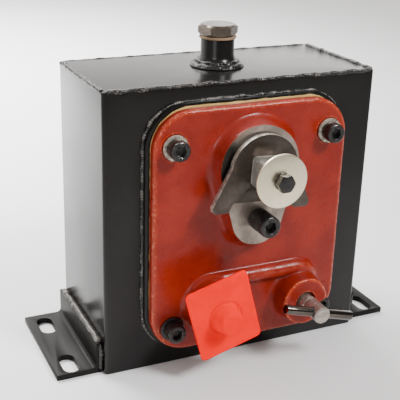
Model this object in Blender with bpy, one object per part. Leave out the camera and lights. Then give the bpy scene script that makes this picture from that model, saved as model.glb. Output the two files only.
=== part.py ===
"""Double-acting hydraulic hand pump on its own welded oil tank.

A rocker shaft with a square end swings a short arm inside the tank. The arm drives a
double-ended plunger in a cylinder block with two suction and two delivery ball valves.
A screw-down release valve with a T-bar and a capped pressure port sit at the bottom of the
pump body, which is bolted through a gasket to a pad on the tank's front face.

Frame: metres, +X to the right of someone facing the pump, +Y towards the back of the tank,
+Z up. The origin is the centre of the tank's underside, level with the undersides of the feet.
"""
import math

import bmesh
import bpy
from mathutils import Matrix, Vector

MM = 0.001
GAP = 0.3 * MM                      # clearance left between pieces that touch or slide
SHARP_ANGLE = math.radians(35)
FINE, MEDIUM, COARSE = 36, 18, 12   # segments round large, middling and small turned pieces

# Tank, welded from plate
TANK_WIDTH = 240 * MM
TANK_DEPTH = 112 * MM
TANK_HEIGHT = 240 * MM
PLATE = 4 * MM
FRONT = -TANK_DEPTH / 2             # Y of the tank's front face

# Angle feet with slotted holes
FOOT_REACH = 39 * MM
FOOT_THICKNESS = 5 * MM
FOOT_LEG_HEIGHT = 27.5 * MM
FOOT_FRONT_INSET = 6.5 * MM
FOOT_BEND_RADIUS = 3 * MM
SLOT_WIDTH = 13.5 * MM
SLOT_LENGTH = 28 * MM
SLOT_PITCH = 68 * MM
SLOT_FROM_TANK = 24.6 * MM

# Filler
NECK_RADIUS = 14 * MM
NECK_BORE = 10 * MM
NECK_TOP = 263 * MM
NECK_COLLAR_RADIUS = 24 * MM
FILLER_WASHER = 2 * MM
FILLER_HEX = 29 * MM
FILLER_TOP = 275 * MM
FILLER_THREAD_LENGTH = 12 * MM
FILLER_PHASE = math.radians(-16.6)

# Distances of the front planes ahead of the tank's front face
PAD_FRONT = 6 * MM
GASKET_THICKNESS = 1 * MM
FLANGE_FRONT = 16 * MM
ROCKER_BOSS_FRONT = 28 * MM
VALVE_BOSS_FRONT = 35.5 * MM
PORT_BOSS_FRONT = 41 * MM
STOP_PLATE_FRONT = 36 * MM
SQUARE_END = 59.8 * MM

# Pump body flange, seen from the front
FLANGE_HALF_WIDTH = 85.5 * MM
FLANGE_BOTTOM = 20 * MM
FLANGE_TOP = 225 * MM
FLANGE_CORNER = 32 * MM
FLANGE_EDGE = 3.2 * MM
PAD_MARGIN = 2.6 * MM
GASKET_MARGIN = 0.8 * MM
OPENING_HALF_WIDTH = 58.5 * MM
OPENING_BOTTOM = 104 * MM
OPENING_TOP = 203 * MM
OPENING_CORNER = 8 * MM

# M10 cover screws
COVER_SCREW_X = 68 * MM
COVER_SCREW_LOW = 42 * MM
COVER_SCREW_HIGH = 197 * MM
SPOT_FACE_RADIUS = 11.2 * MM

# Rocker shaft
SHAFT_Z = 177 * MM
JOURNAL_RADIUS = 15.5 * MM
SQUARE_FLATS = 23.5 * MM
SEAT_FLATS = 23.9 * MM               # the square is left larger under the stop plate
REST_TURN = math.radians(3)          # square and stop plate are clocked clockwise on the shaft
BUSH_WALL = 2.4 * MM
INNER_SHAFT_RADIUS = 11 * MM
ARM_LENGTH = 30 * MM
PLUNGER_Z = SHAFT_Z - ARM_LENGTH
PLUNGER_BEHIND = 30 * MM            # plunger axis behind the tank's front face

# Stop screw below the shaft
STOP_Z = 134 * MM
STOP_RADIUS = 9 * MM
STOP_LOBE_RADIUS = 22 * MM
ROCKER_BOSS_RADIUS = 34 * MM
BOSS_DRAFT = 3.5 * MM

# Stop plate outline before it is clocked, seen from the front, from the shaft axis
PLATE_RADIUS = 29 * MM
EAR_TIP = (38.5 * MM, -29 * MM)
EAR_TIP_RADIUS = 4.5 * MM
EAR_FOOT = (29.3 * MM, -33.2 * MM)
EAR_ROOT = (25.3 * MM, -25.4 * MM)
STOP_PLATE_THICKNESS = 5 * MM

# Ports
VALVE_X, VALVE_Z = 46.5 * MM, 53.5 * MM
VALVE_BOSS_RADIUS = 20.5 * MM
PORT_X, PORT_Z = -34 * MM, 60 * MM
PORT_BOSS_RADIUS = 22 * MM
GALLERY_Z = 78.5 * MM
GALLERY_RADIUS = 7 * MM

# Release valve
SPINDLE_RADIUS = 7.2 * MM
SPINDLE_END = 62 * MM
TBAR_RADIUS = 3.9 * MM
TBAR_LENGTH = 67 * MM
TBAR_FRONT = 55.5 * MM
TBAR_TILT = math.radians(16.3)
RELEASE_BALL_RADIUS = 4 * MM
RELEASE_BALL_Y = 17 * MM

# Push-in shipping plug in the pressure port
PLUG_FLAG = (55 * MM, 64.6 * MM)
PLUG_FLAG_SHIFT = (-1.2 * MM, 1.4 * MM)
PLUG_FLAG_FRONT = 45 * MM
PLUG_FLAG_THICKNESS = 1.8 * MM
PLUG_FLAG_CORNER = 4 * MM
PLUG_TWIST = math.radians(15.4)
PLUG_KNOB_RADIUS = 12 * MM
PLUG_KNOB_LENGTH = 14 * MM
PORT_BORE = 9 * MM

# Cylinder block and what it holds
BLOCK_HALF_LENGTH = 54 * MM
BLOCK_HALF_DEPTH = 18 * MM
BLOCK_BOTTOM = 118 * MM
BLOCK_TOP = 172 * MM
PLUNGER_RADIUS = 11 * MM
PLUNGER_HALF_LENGTH = 26 * MM
ARM_TIP_RADIUS = 5.5 * MM
ARM_HALF_WIDTH = 4 * MM
ARM_HALF_THICKNESS = 5 * MM
VALVE_PORT_X = 43 * MM
CHECK_BALL_RADIUS = 4.5 * MM
CHECK_BORE = 6 * MM
SEAT_BORE = 2.5 * MM
SUCTION_SEAT_BORE = 3 * MM
SUCTION_SEAT_TOP = 124 * MM
DELIVERY_SEAT_Z = 160 * MM
DELIVERY_CAP_TOP = 184 * MM
BLOCK_SCREW_X = 30 * MM
BLOCK_SCREW_Z = (124 * MM, 167 * MM)


def ahead(distance):
    """Y of a plane this far in front of the tank's front face; negative means behind it."""
    return FRONT - distance


# --- materials ---------------------------------------------------------------------------

def make_material(name, colour, roughness, metallic):
    material = bpy.data.materials.new(name)
    material.use_nodes = True
    shader = material.node_tree.nodes["Principled BSDF"]
    shader.inputs["Base Color"].default_value = (*colour, 1.0)
    shader.inputs["Roughness"].default_value = roughness
    shader.inputs["Metallic"].default_value = metallic
    material.diffuse_color = (*colour, 1.0)
    return material


# --- mesh builders -----------------------------------------------------------------------

def add_object(name, bm, material, origin=(0.0, 0.0, 0.0)):
    """Link a mesh drawn in world coordinates as an object whose origin is the given point."""
    bmesh.ops.translate(bm, verts=bm.verts, vec=-Vector(origin))
    bmesh.ops.recalc_face_normals(bm, faces=bm.faces)
    mesh = bpy.data.meshes.new(name)
    bm.to_mesh(mesh)
    bm.free()
    mesh.shade_smooth()
    mesh.set_sharp_from_angle(angle=SHARP_ANGLE)
    if material:
        mesh.materials.append(material)
    obj = bpy.data.objects.new(name, mesh)
    obj.location = origin
    bpy.context.scene.collection.objects.link(obj)
    return obj


def combine(target, tool, operation):
    """Join or cut the target with a hidden tool object."""
    modifier = target.modifiers.new(tool.name, "BOOLEAN")
    modifier.operation = operation
    modifier.solver = "EXACT"
    modifier.object = tool
    tool.hide_render = True
    tool.display_type = "WIRE"


def cut(target, bm):
    combine(target, add_object(target.name + "_cutter", bm, None), "DIFFERENCE")


def join(target, bm):
    combine(target, add_object(target.name + "_addition", bm, None), "UNION")


def skin(rings, closed=False):
    """Closed mesh through rings of points with equal counts, capped unless it closes on itself."""
    bm = bmesh.new()
    loops = [[bm.verts.new(point) for point in ring] for ring in rings]
    count = len(loops[0])
    pairs = list(zip(loops, loops[1:]))
    if closed:
        pairs.append((loops[-1], loops[0]))
    for first, second in pairs:
        for i in range(count):
            j = (i + 1) % count
            bm.faces.new((first[i], first[j], second[j], second[i]))
    if not closed:
        bm.faces.new(loops[0])
        bm.faces.new(loops[-1])
    return bm


def place(axis, centre, across, up, along):
    """Point at two offsets across an axis parallel to X, Y or Z, and a position along it."""
    if axis == "X":
        return Vector((along, centre[0] + across, centre[1] + up))
    if axis == "Y":
        return Vector((centre[0] + across, along, centre[1] + up))
    return Vector((centre[0] + across, centre[1] + up, along))


def turned(profile, axis, centre, segments=MEDIUM, closed=False, phase=0.0, angles=None):
    """Solid turned about an axis, clocked by a phase.

    A profile point is (radius, along), or for flats (half across flats, along, sides) and
    optionally the radius that trims the corners.
    """
    angles = angles or [2 * math.pi * k / segments for k in range(segments)]
    rings = []
    for radius, along, *flats in profile:
        ring = []
        for angle in angles:
            reach = radius
            if flats:
                sector = 2 * math.pi / flats[0]
                corner = sector / 2 if flats[0] == 4 else 0.0
                reach = min([radius / math.cos((angle - corner) % sector - sector / 2), *flats[1:]])
            turn = angle + phase
            ring.append(place(axis, centre, reach * math.cos(turn), reach * math.sin(turn), along))
        rings.append(ring)
    return skin(rings, closed)


def trimmed_square_angles(half_flats, corner_radius):
    """Angles that put a vertex at both ends of each rounded corner of a square turned down from round."""
    flat_end = math.acos(half_flats / corner_radius)
    steps = [flat_end * k / 3 for k in range(4)] + [math.pi / 4]
    steps += [math.pi / 2 - step for step in steps[3:0:-1]]
    return [quarter * math.pi / 2 + step for quarter in range(4) for step in steps]


def rod(radius, start, end, axis, centre, segments=MEDIUM):
    return turned([(radius, start), (radius, end)], axis, centre, segments)


def tube(inner, outer, start, end, axis, centre, segments=MEDIUM):
    profile = [(inner, start), (outer, start), (outer, end), (inner, end)]
    return turned(profile, axis, centre, segments, closed=True)


def box(low, high):
    bm = bmesh.new()
    bmesh.ops.create_cube(bm, size=1.0)
    for vertex in bm.verts:
        vertex.co = [low[i] + (vertex.co[i] + 0.5) * (high[i] - low[i]) for i in range(3)]
    return bm


def prism(outline, front, back):
    """Outline of (x, z) points extruded along Y."""
    return skin([[Vector((x, y, z)) for x, z in outline] for y in (front, back)])


def arc(centre, radius, start, end, steps):
    """Points on an arc between two angles in degrees, both ends included."""
    points = []
    for k in range(steps + 1):
        angle = math.radians(start + (end - start) * k / steps)
        points.append((centre[0] + radius * math.cos(angle), centre[1] + radius * math.sin(angle)))
    return points


def rounded_rectangle(half_width, low, high, radius, steps=8):
    outline = arc((half_width - radius, high - radius), radius, 0, 90, steps)
    outline += arc((-half_width + radius, high - radius), radius, 90, 180, steps)
    outline += arc((-half_width + radius, low + radius), radius, 180, 270, steps)
    outline += arc((half_width - radius, low + radius), radius, 270, 360, steps)
    return outline


def egg(upper, upper_radius, lower, lower_radius, steps=24):
    """Outline of two stacked circles joined by their common tangents."""
    tilt = math.degrees(math.asin((upper_radius - lower_radius) / (upper[1] - lower[1])))
    outline = arc(upper, upper_radius, -tilt, 180 + tilt, steps)
    outline += arc(lower, lower_radius, 180 + tilt, 360 - tilt, steps // 2)
    return outline


def cover_screw_places():
    """Names and (x, z) places of the four cover screws."""
    rows = (("upper", COVER_SCREW_HIGH), ("lower", COVER_SCREW_LOW))
    columns = (("left", -COVER_SCREW_X), ("right", COVER_SCREW_X))
    return [(row + "_" + side, (x, z)) for row, z in rows for side, x in columns]


def block_screw_places():
    rows = zip(("lower", "upper"), BLOCK_SCREW_Z)
    columns = (("left", -BLOCK_SCREW_X), ("right", BLOCK_SCREW_X))
    return [(row + "_" + side, (x, z)) for row, z in rows for side, x in columns]


def socket_screw(name, radius, head_radius, head_height, under_head, tip, towards, centre, material):
    """Hexagon socket screw along Y; towards is the direction from the tip to the head."""
    top = under_head + towards * head_height
    edge = head_radius * 0.12
    profile = [
        (radius, tip),
        (radius, under_head),
        (head_radius, under_head),
        (head_radius, top - towards * edge),
        (head_radius - edge, top),
        (head_radius * 0.5, top, 6),
        (head_radius * 0.5, top - towards * head_height * 0.5, 6),
    ]
    return add_object(name, turned(profile, "Y", centre), material, (centre[0], under_head, centre[1]))


# --- tank --------------------------------------------------------------------------------

def make_tank(paint):
    half_width, half_depth = TANK_WIDTH / 2, TANK_DEPTH / 2
    inner_depth = half_depth - PLATE - GAP
    inner_width = half_width - PLATE - GAP
    front = add_object("tank_front_plate", box((-half_width, -half_depth, 0),
                       (half_width, -half_depth + PLATE, TANK_HEIGHT)), paint)
    cut_opening(front, -half_depth - PLATE, -half_depth + 2 * PLATE)
    add_object("tank_back_plate", box((-half_width, half_depth - PLATE, 0),
               (half_width, half_depth, TANK_HEIGHT)), paint)
    for side, name in ((-1, "tank_left_plate"), (1, "tank_right_plate")):
        outer, inner = side * half_width, side * (half_width - PLATE)
        low = (min(outer, inner), -inner_depth, 0)
        high = (max(outer, inner), inner_depth, TANK_HEIGHT)
        add_object(name, box(low, high), paint)
    add_object("tank_floor_plate", box((-inner_width, -inner_depth, 0),
               (inner_width, inner_depth, PLATE)), paint)
    top = add_object("tank_top_plate", box((-inner_width, -inner_depth, TANK_HEIGHT - PLATE),
                     (inner_width, inner_depth, TANK_HEIGHT)), paint)
    cut(top, rod(NECK_BORE, TANK_HEIGHT - 2 * PLATE, TANK_HEIGHT + PLATE, "Z", (0, 0)))


def cut_opening(plate, front, back):
    """Cut the pump's opening and the four screw holes through a plate."""
    opening = rounded_rectangle(OPENING_HALF_WIDTH, OPENING_BOTTOM, OPENING_TOP, OPENING_CORNER, 4)
    cut(plate, prism(opening, front, back))
    for _, centre in cover_screw_places():
        cut(plate, rod(5.4 * MM, front, back, "Y", centre, COARSE))


def make_foot(name, side, paint):
    """Bent angle foot, welded to the side of the tank, with two slots for the mounting bolts."""
    wall = TANK_WIDTH / 2 + GAP
    bend = (wall + FOOT_THICKNESS + FOOT_BEND_RADIUS, FOOT_THICKNESS + FOOT_BEND_RADIUS)
    outline = [(wall, 0), (TANK_WIDTH / 2 + FOOT_REACH, 0), (TANK_WIDTH / 2 + FOOT_REACH, FOOT_THICKNESS)]
    outline += arc(bend, FOOT_BEND_RADIUS, 270, 180, 4)
    outline += [(wall + FOOT_THICKNESS, FOOT_LEG_HEIGHT), (wall, FOOT_LEG_HEIGHT)]
    outline = [(side * x, z) for x, z in outline]
    foot = add_object(name, prism(outline, FRONT + FOOT_FRONT_INSET, TANK_DEPTH / 2), paint)
    slot_x = side * (TANK_WIDTH / 2 + SLOT_FROM_TANK)
    straight = (SLOT_LENGTH - SLOT_WIDTH) / 2
    for slot_y in (-SLOT_PITCH / 2, SLOT_PITCH / 2):
        slot = arc((slot_x, slot_y + straight), SLOT_WIDTH / 2, 0, 180, 8)
        slot += arc((slot_x, slot_y - straight), SLOT_WIDTH / 2, 180, 360, 8)
        rings = [[Vector((x, y, z)) for x, y in slot] for z in (-FOOT_THICKNESS, 2 * FOOT_THICKNESS)]
        cut(foot, skin(rings))


def make_filler(paint, zinc, fibre):
    base = TANK_HEIGHT + GAP
    neck = [
        (NECK_BORE, base),
        (NECK_COLLAR_RADIUS, base),
        (NECK_COLLAR_RADIUS - 1.5 * MM, base + 2 * MM),
        (NECK_RADIUS + 2.5 * MM, base + 6 * MM),
        (NECK_RADIUS, base + 11 * MM),
        (NECK_RADIUS, NECK_TOP),
        (NECK_BORE, NECK_TOP),
    ]
    add_object("filler_neck", turned(neck, "Z", (0, 0), FINE, closed=True), paint)
    washer_low = NECK_TOP + GAP
    washer_high = washer_low + FILLER_WASHER
    thread = NECK_BORE - GAP
    washer = tube(thread + GAP, NECK_RADIUS + 1.5 * MM, washer_low, washer_high, "Z", (0, 0))
    add_object("filler_washer", washer, fibre, (0, 0, washer_low))
    head_low = washer_high + GAP
    chamfer = 1.6 * MM
    plug = [
        (thread, head_low - FILLER_THREAD_LENGTH),
        (thread, head_low),
        (FILLER_HEX / 2 - chamfer, head_low),
        (FILLER_HEX / 2, head_low + chamfer / 2, 6),
        (FILLER_HEX / 2, FILLER_TOP - chamfer, 6),
        (FILLER_HEX / 2 - chamfer / 2, FILLER_TOP),
    ]
    add_object("filler_plug", turned(plug, "Z", (0, 0), phase=FILLER_PHASE), zinc, (0, 0, head_low))


def make_pad_and_gasket(paint, paper):
    pad_outline = rounded_rectangle(FLANGE_HALF_WIDTH + PAD_MARGIN, FLANGE_BOTTOM - PAD_MARGIN,
                                    FLANGE_TOP + PAD_MARGIN, FLANGE_CORNER + PAD_MARGIN)
    pad = add_object("mounting_pad", prism(pad_outline, ahead(PAD_FRONT), ahead(GAP)), paint)
    cut_opening(pad, ahead(2 * PAD_FRONT), ahead(-PAD_FRONT))
    gasket_outline = rounded_rectangle(FLANGE_HALF_WIDTH + GASKET_MARGIN, FLANGE_BOTTOM - GASKET_MARGIN,
                                       FLANGE_TOP + GASKET_MARGIN, FLANGE_CORNER + GASKET_MARGIN)
    back = PAD_FRONT + GAP
    gasket = add_object("gasket", prism(gasket_outline, ahead(back + GASKET_THICKNESS), ahead(back)), paper)
    cut_opening(gasket, ahead(2 * PAD_FRONT), ahead(0))


# --- pump body ---------------------------------------------------------------------------

def make_pump_body(cast_red):
    """Flanged casting: rocker boss with a stop lobe, two port bosses, a gallery rib and a rear hub."""
    back = PAD_FRONT + GASKET_THICKNESS + 2 * GAP
    root = FLANGE_FRONT - MM
    levels = ((0, back), (0, FLANGE_FRONT - FLANGE_EDGE),
              (FLANGE_EDGE * 0.3, FLANGE_FRONT - FLANGE_EDGE * 0.3), (FLANGE_EDGE, FLANGE_FRONT))
    rings = []
    for inset, distance in levels:
        outline = rounded_rectangle(FLANGE_HALF_WIDTH - inset, FLANGE_BOTTOM + inset,
                                    FLANGE_TOP - inset, FLANGE_CORNER - inset)
        rings.append([Vector((x, ahead(distance), z)) for x, z in outline])
    body = add_object("pump_body", skin(rings), cast_red)

    rings = []
    for growth, distance in ((BOSS_DRAFT, root), (0, ROCKER_BOSS_FRONT)):
        outline = egg((0, SHAFT_Z), ROCKER_BOSS_RADIUS + growth, (0, STOP_Z), STOP_LOBE_RADIUS + growth)
        rings.append([Vector((x, ahead(distance), z)) for x, z in outline])
    join(body, skin(rings))
    valve_boss = [(VALVE_BOSS_RADIUS + 1.5 * MM, ahead(root)), (VALVE_BOSS_RADIUS, ahead(VALVE_BOSS_FRONT))]
    join(body, turned(valve_boss, "Y", (VALVE_X, VALVE_Z), 32))
    port_boss = [(PORT_BOSS_RADIUS + 1.5 * MM, ahead(root)), (PORT_BOSS_RADIUS, ahead(PORT_BOSS_FRONT))]
    join(body, turned(port_boss, "Y", (PORT_X, PORT_Z), 32))
    join(body, rod(GALLERY_RADIUS, PORT_X, VALVE_X, "X", (ahead(FLANGE_FRONT), GALLERY_Z), 20))

    hub_back = -8 * MM
    join(body, rod(JOURNAL_RADIUS + BUSH_WALL + 5 * MM, ahead(back + MM), ahead(hub_back), "Y", (0, SHAFT_Z), 32))
    rib_back = PLUNGER_BEHIND - BLOCK_HALF_DEPTH - GAP
    for side in (-1, 1):
        xs = sorted((side * 24.5 * MM, side * 36.5 * MM))
        join(body, box((xs[0], ahead(back + MM), BLOCK_BOTTOM + MM), (xs[1], ahead(-rib_back), BLOCK_TOP - MM)))

    far = 2 * PORT_BOSS_FRONT
    cut(body, rod(JOURNAL_RADIUS + BUSH_WALL + 2 * GAP, ahead(far), ahead(4 * hub_back), "Y", (0, SHAFT_Z), 32))
    cut(body, rod(6.4 * MM, ahead(far), ahead(11 * MM), "Y", (0, STOP_Z), 16))
    for _, centre in cover_screw_places():
        cut(body, rod(SPOT_FACE_RADIUS, ahead(far), ahead(FLANGE_FRONT), "Y", centre, 20))
        cut(body, rod(5.6 * MM, ahead(far), ahead(0), "Y", centre, 16))
    cut(body, rod(PORT_BORE, ahead(far), ahead(14 * MM), "Y", (PORT_X, PORT_Z), 20))
    valve_hole = [
        (9.5 * MM, ahead(far)),
        (9.5 * MM, ahead(VALVE_BOSS_FRONT - 5 * MM)),
        (SPINDLE_RADIUS + GAP, ahead(VALVE_BOSS_FRONT - 5 * MM)),
        (SPINDLE_RADIUS + GAP, ahead(22 * MM)),
        (RELEASE_BALL_RADIUS + GAP, ahead(22 * MM)),
        (RELEASE_BALL_RADIUS + GAP, ahead(RELEASE_BALL_Y - RELEASE_BALL_RADIUS - GAP)),
    ]
    cut(body, turned(valve_hole, "Y", (VALVE_X, VALVE_Z), 20))
    for _, centre in block_screw_places():
        cut(body, rod(3.3 * MM, ahead(2 * MM), ahead(-2 * rib_back), "Y", centre, COARSE))


def make_cover_fasteners(black_oxide):
    for place_name, centre in cover_screw_places():
        washer_back = FLANGE_FRONT + GAP
        washer_front = washer_back + 1.8 * MM
        washer = tube(5.5 * MM, 10.3 * MM, ahead(washer_front), ahead(washer_back), "Y", centre)
        add_object("cover_washer_" + place_name, washer, black_oxide, (centre[0], ahead(washer_back), centre[1]))
        socket_screw("cover_screw_" + place_name, 5 * MM, 8 * MM, 10 * MM, ahead(washer_front + GAP),
                     ahead(-2 * MM), -1, centre, black_oxide)


def make_stop(black_oxide):
    """Stop screw with a spacer sleeve; the ears of the stop plate strike the sleeve."""
    centre = (0, STOP_Z)
    sleeve_back = ROCKER_BOSS_FRONT + GAP
    sleeve_front = sleeve_back + 9.3 * MM
    sleeve = tube(6.4 * MM, STOP_RADIUS, ahead(sleeve_front), ahead(sleeve_back), "Y", centre)
    add_object("stop_sleeve", sleeve, black_oxide)
    socket_screw("stop_screw", 6 * MM, STOP_RADIUS, 12 * MM, ahead(sleeve_front + GAP), ahead(12 * MM), -1,
                 centre, black_oxide)


# --- rocker ------------------------------------------------------------------------------

def make_rocker(steel, plate_steel, zinc, bronze, rubber, black_oxide):
    axis = (0, SHAFT_Z)
    bush_outer = JOURNAL_RADIUS + BUSH_WALL + GAP
    bush_inner = JOURNAL_RADIUS + GAP
    pieces = (("shaft_seal", 27.6 * MM, 22.4 * MM, rubber), ("shaft_bush_front", 22 * MM, 10 * MM, bronze),
              ("shaft_bush_rear", 4 * MM, -7.7 * MM, bronze))
    for name, front, back, material in pieces:
        add_object(name, tube(bush_inner, bush_outer, ahead(front), ahead(back), "Y", axis), material)

    shaft_origin = (0, ahead(0), SHAFT_Z)
    flats, seat = SQUARE_FLATS / 2, SEAT_FLATS / 2
    bolt_hole_end = SQUARE_END - 24 * MM
    shaft = [
        (4.4 * MM, ahead(bolt_hole_end)),
        (4.4 * MM, ahead(SQUARE_END)),
        (flats - 0.8 * MM, ahead(SQUARE_END), 4, JOURNAL_RADIUS - 0.8 * MM),
        (flats, ahead(SQUARE_END - 0.8 * MM), 4, JOURNAL_RADIUS),
        (flats, ahead(STOP_PLATE_FRONT + 0.4 * MM), 4, JOURNAL_RADIUS),
        (seat, ahead(STOP_PLATE_FRONT + GAP), 4, JOURNAL_RADIUS),
        (seat, ahead(30.5 * MM), 4, JOURNAL_RADIUS),
        (JOURNAL_RADIUS, ahead(30.4 * MM)),
        (JOURNAL_RADIUS, ahead(-10 * MM)),
        (INNER_SHAFT_RADIUS, ahead(-10 * MM)),
        (INNER_SHAFT_RADIUS, ahead(-40 * MM)),
    ]
    angles = trimmed_square_angles(flats, JOURNAL_RADIUS)
    add_object("rocker_shaft", turned(shaft, "Y", axis, phase=-REST_TURN, angles=angles), steel, shaft_origin)

    outline = stop_plate_outline()
    plate_back = STOP_PLATE_FRONT - STOP_PLATE_THICKNESS
    plate = add_object("stop_plate", prism(outline, ahead(STOP_PLATE_FRONT), ahead(plate_back)),
                       plate_steel, shaft_origin)
    hole = [(seat + GAP, ahead(STOP_PLATE_FRONT + MM), 4), (seat + GAP, ahead(plate_back - MM), 4)]
    cut(plate, turned(hole, "Y", axis, 8, phase=-REST_TURN))

    washer_back = SQUARE_END + GAP
    washer_front = washer_back + 2.5 * MM
    edge = 0.6 * MM
    washer = [(4.5 * MM, ahead(washer_back)), (21.5 * MM, ahead(washer_back)),
              (21.5 * MM, ahead(washer_front - edge)), (21.5 * MM - edge, ahead(washer_front)),
              (4.5 * MM, ahead(washer_front))]
    add_object("lever_washer", turned(washer, "Y", axis, FINE, closed=True), zinc, shaft_origin)
    lock_front = washer_front + GAP + 1.6 * MM
    lock = tube(4.5 * MM, 7 * MM, ahead(lock_front), ahead(washer_front + GAP), "Y", axis)
    add_object("lever_lock_washer", lock, black_oxide, shaft_origin)
    head_back = lock_front + GAP
    head_front = head_back + 5.5 * MM
    bolt = [
        (4 * MM, ahead(bolt_hole_end + 2 * MM)),
        (4 * MM, ahead(head_back)),
        (5.8 * MM, ahead(head_back)),
        (6.5 * MM, ahead(head_back + 0.2 * MM), 6),
        (6.5 * MM, ahead(head_front - 0.9 * MM), 6),
        (5.9 * MM, ahead(head_front)),
    ]
    add_object("lever_bolt", turned(bolt, "Y", axis), black_oxide, shaft_origin)
    make_rocker_arm(steel, black_oxide, shaft_origin)


def stop_plate_outline():
    """Round plate with two ears that meet the stop sleeve at each end of the swing."""
    right = arc(EAR_TIP, EAR_TIP_RADIUS, 35, -75, 6) + [EAR_FOOT, EAR_ROOT]
    left = [(-x, z) for x, z in reversed(right)]
    outline = arc((0, 0), PLATE_RADIUS, 175, 5, 24) + right + left
    cosine, sine = math.cos(REST_TURN), math.sin(REST_TURN)
    return [(x * cosine + z * sine, SHAFT_Z + z * cosine - x * sine) for x, z in outline]


def make_rocker_arm(steel, black_oxide, shaft_origin):
    """Arm inside the tank: a hub clamped on the shaft and a round tip that moves the plunger."""
    middle = -PLUNGER_BEHIND
    hub_radius = INNER_SHAFT_RADIUS + 4 * MM
    hub = rod(hub_radius, ahead(middle - 8 * MM), ahead(middle + 8 * MM), "Y", (0, SHAFT_Z))
    arm = add_object("rocker_arm", hub, steel, shaft_origin)
    shank_low = (-ARM_HALF_WIDTH, ahead(middle + ARM_HALF_THICKNESS - GAP), PLUNGER_Z)
    shank_high = (ARM_HALF_WIDTH, ahead(middle - ARM_HALF_THICKNESS + GAP), SHAFT_Z)
    join(arm, box(shank_low, shank_high))
    tip_span = (ahead(middle + ARM_HALF_THICKNESS), ahead(middle - ARM_HALF_THICKNESS))
    join(arm, rod(ARM_TIP_RADIUS, *tip_span, "Y", (0, PLUNGER_Z)))
    cut(arm, rod(INNER_SHAFT_RADIUS + GAP, ahead(0), ahead(2 * middle), "Y", (0, SHAFT_Z)))
    screw_place = (0, ahead(middle))
    cut(arm, rod(3.3 * MM, SHAFT_Z, SHAFT_Z + 2 * hub_radius, "Z", screw_place, COARSE))
    head_low = SHAFT_Z + hub_radius + GAP
    screw = [(3 * MM, SHAFT_Z + INNER_SHAFT_RADIUS + GAP), (3 * MM, head_low), (4.8 * MM, head_low),
             (4.8 * MM, head_low + 4 * MM), (2.5 * MM, head_low + 4 * MM, 6), (2.5 * MM, head_low + 2 * MM, 6)]
    add_object("arm_clamp_screw", turned(screw, "Z", screw_place, COARSE), black_oxide, shaft_origin)


# --- cylinder block ----------------------------------------------------------------------

def make_cylinder(steel, ground_steel, rubber, spring_steel, black_oxide):
    axis = (ahead(-PLUNGER_BEHIND), PLUNGER_Z)
    front, back = axis[0] - BLOCK_HALF_DEPTH, axis[0] + BLOCK_HALF_DEPTH
    block = add_object("cylinder_block", box((-BLOCK_HALF_LENGTH, front, BLOCK_BOTTOM),
                       (BLOCK_HALF_LENGTH, back, BLOCK_TOP)), steel)
    beyond = BLOCK_HALF_LENGTH + 5 * MM
    cut(block, rod(PLUNGER_RADIUS + GAP, -beyond, beyond, "X", axis))
    saddle, floor_z = 24 * MM, 160.3 * MM
    cut(block, box((-saddle, front - MM, floor_z), (saddle, back + MM, BLOCK_TOP + MM)))
    slot, half = 22 * MM, ARM_HALF_THICKNESS + MM
    cut(block, box((-slot, axis[0] - half, PLUNGER_Z), (slot, axis[0] + half, BLOCK_TOP + 2 * MM)))
    for _, centre in block_screw_places():
        cut(block, rod(3.4 * MM, front - MM, back + MM, "Y", centre, COARSE))
    for name, centre in block_screw_places():
        socket_screw("block_screw_" + name, 3 * MM, 5 * MM, 6 * MM, back + GAP, ahead(0), 1,
                     centre, black_oxide)

    for side, name in ((-1, "left"), (1, "right")):
        centre = (side * VALVE_PORT_X, axis[0])
        port = [
            (CHECK_BORE, BLOCK_BOTTOM - MM),
            (CHECK_BORE, 134 * MM),
            (SEAT_BORE, 134 * MM),
            (SEAT_BORE, DELIVERY_SEAT_Z),
            (CHECK_BORE, DELIVERY_SEAT_Z),
            (CHECK_BORE, BLOCK_TOP + MM),
        ]
        cut(block, turned(port, "Z", centre))
        make_check_valves(name, centre, steel, ground_steel, spring_steel)
        make_end_plug(name, side, axis, steel)
        groove_x = side * (PLUNGER_HALF_LENGTH - 5 * MM)
        ring = tube(PLUNGER_RADIUS - 1.2 * MM, PLUNGER_RADIUS, groove_x - 1.2 * MM, groove_x + 1.2 * MM,
                    "X", axis)
        add_object("plunger_seal_" + name, ring, rubber, (0, *axis))
    make_plunger(axis, ground_steel)


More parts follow.
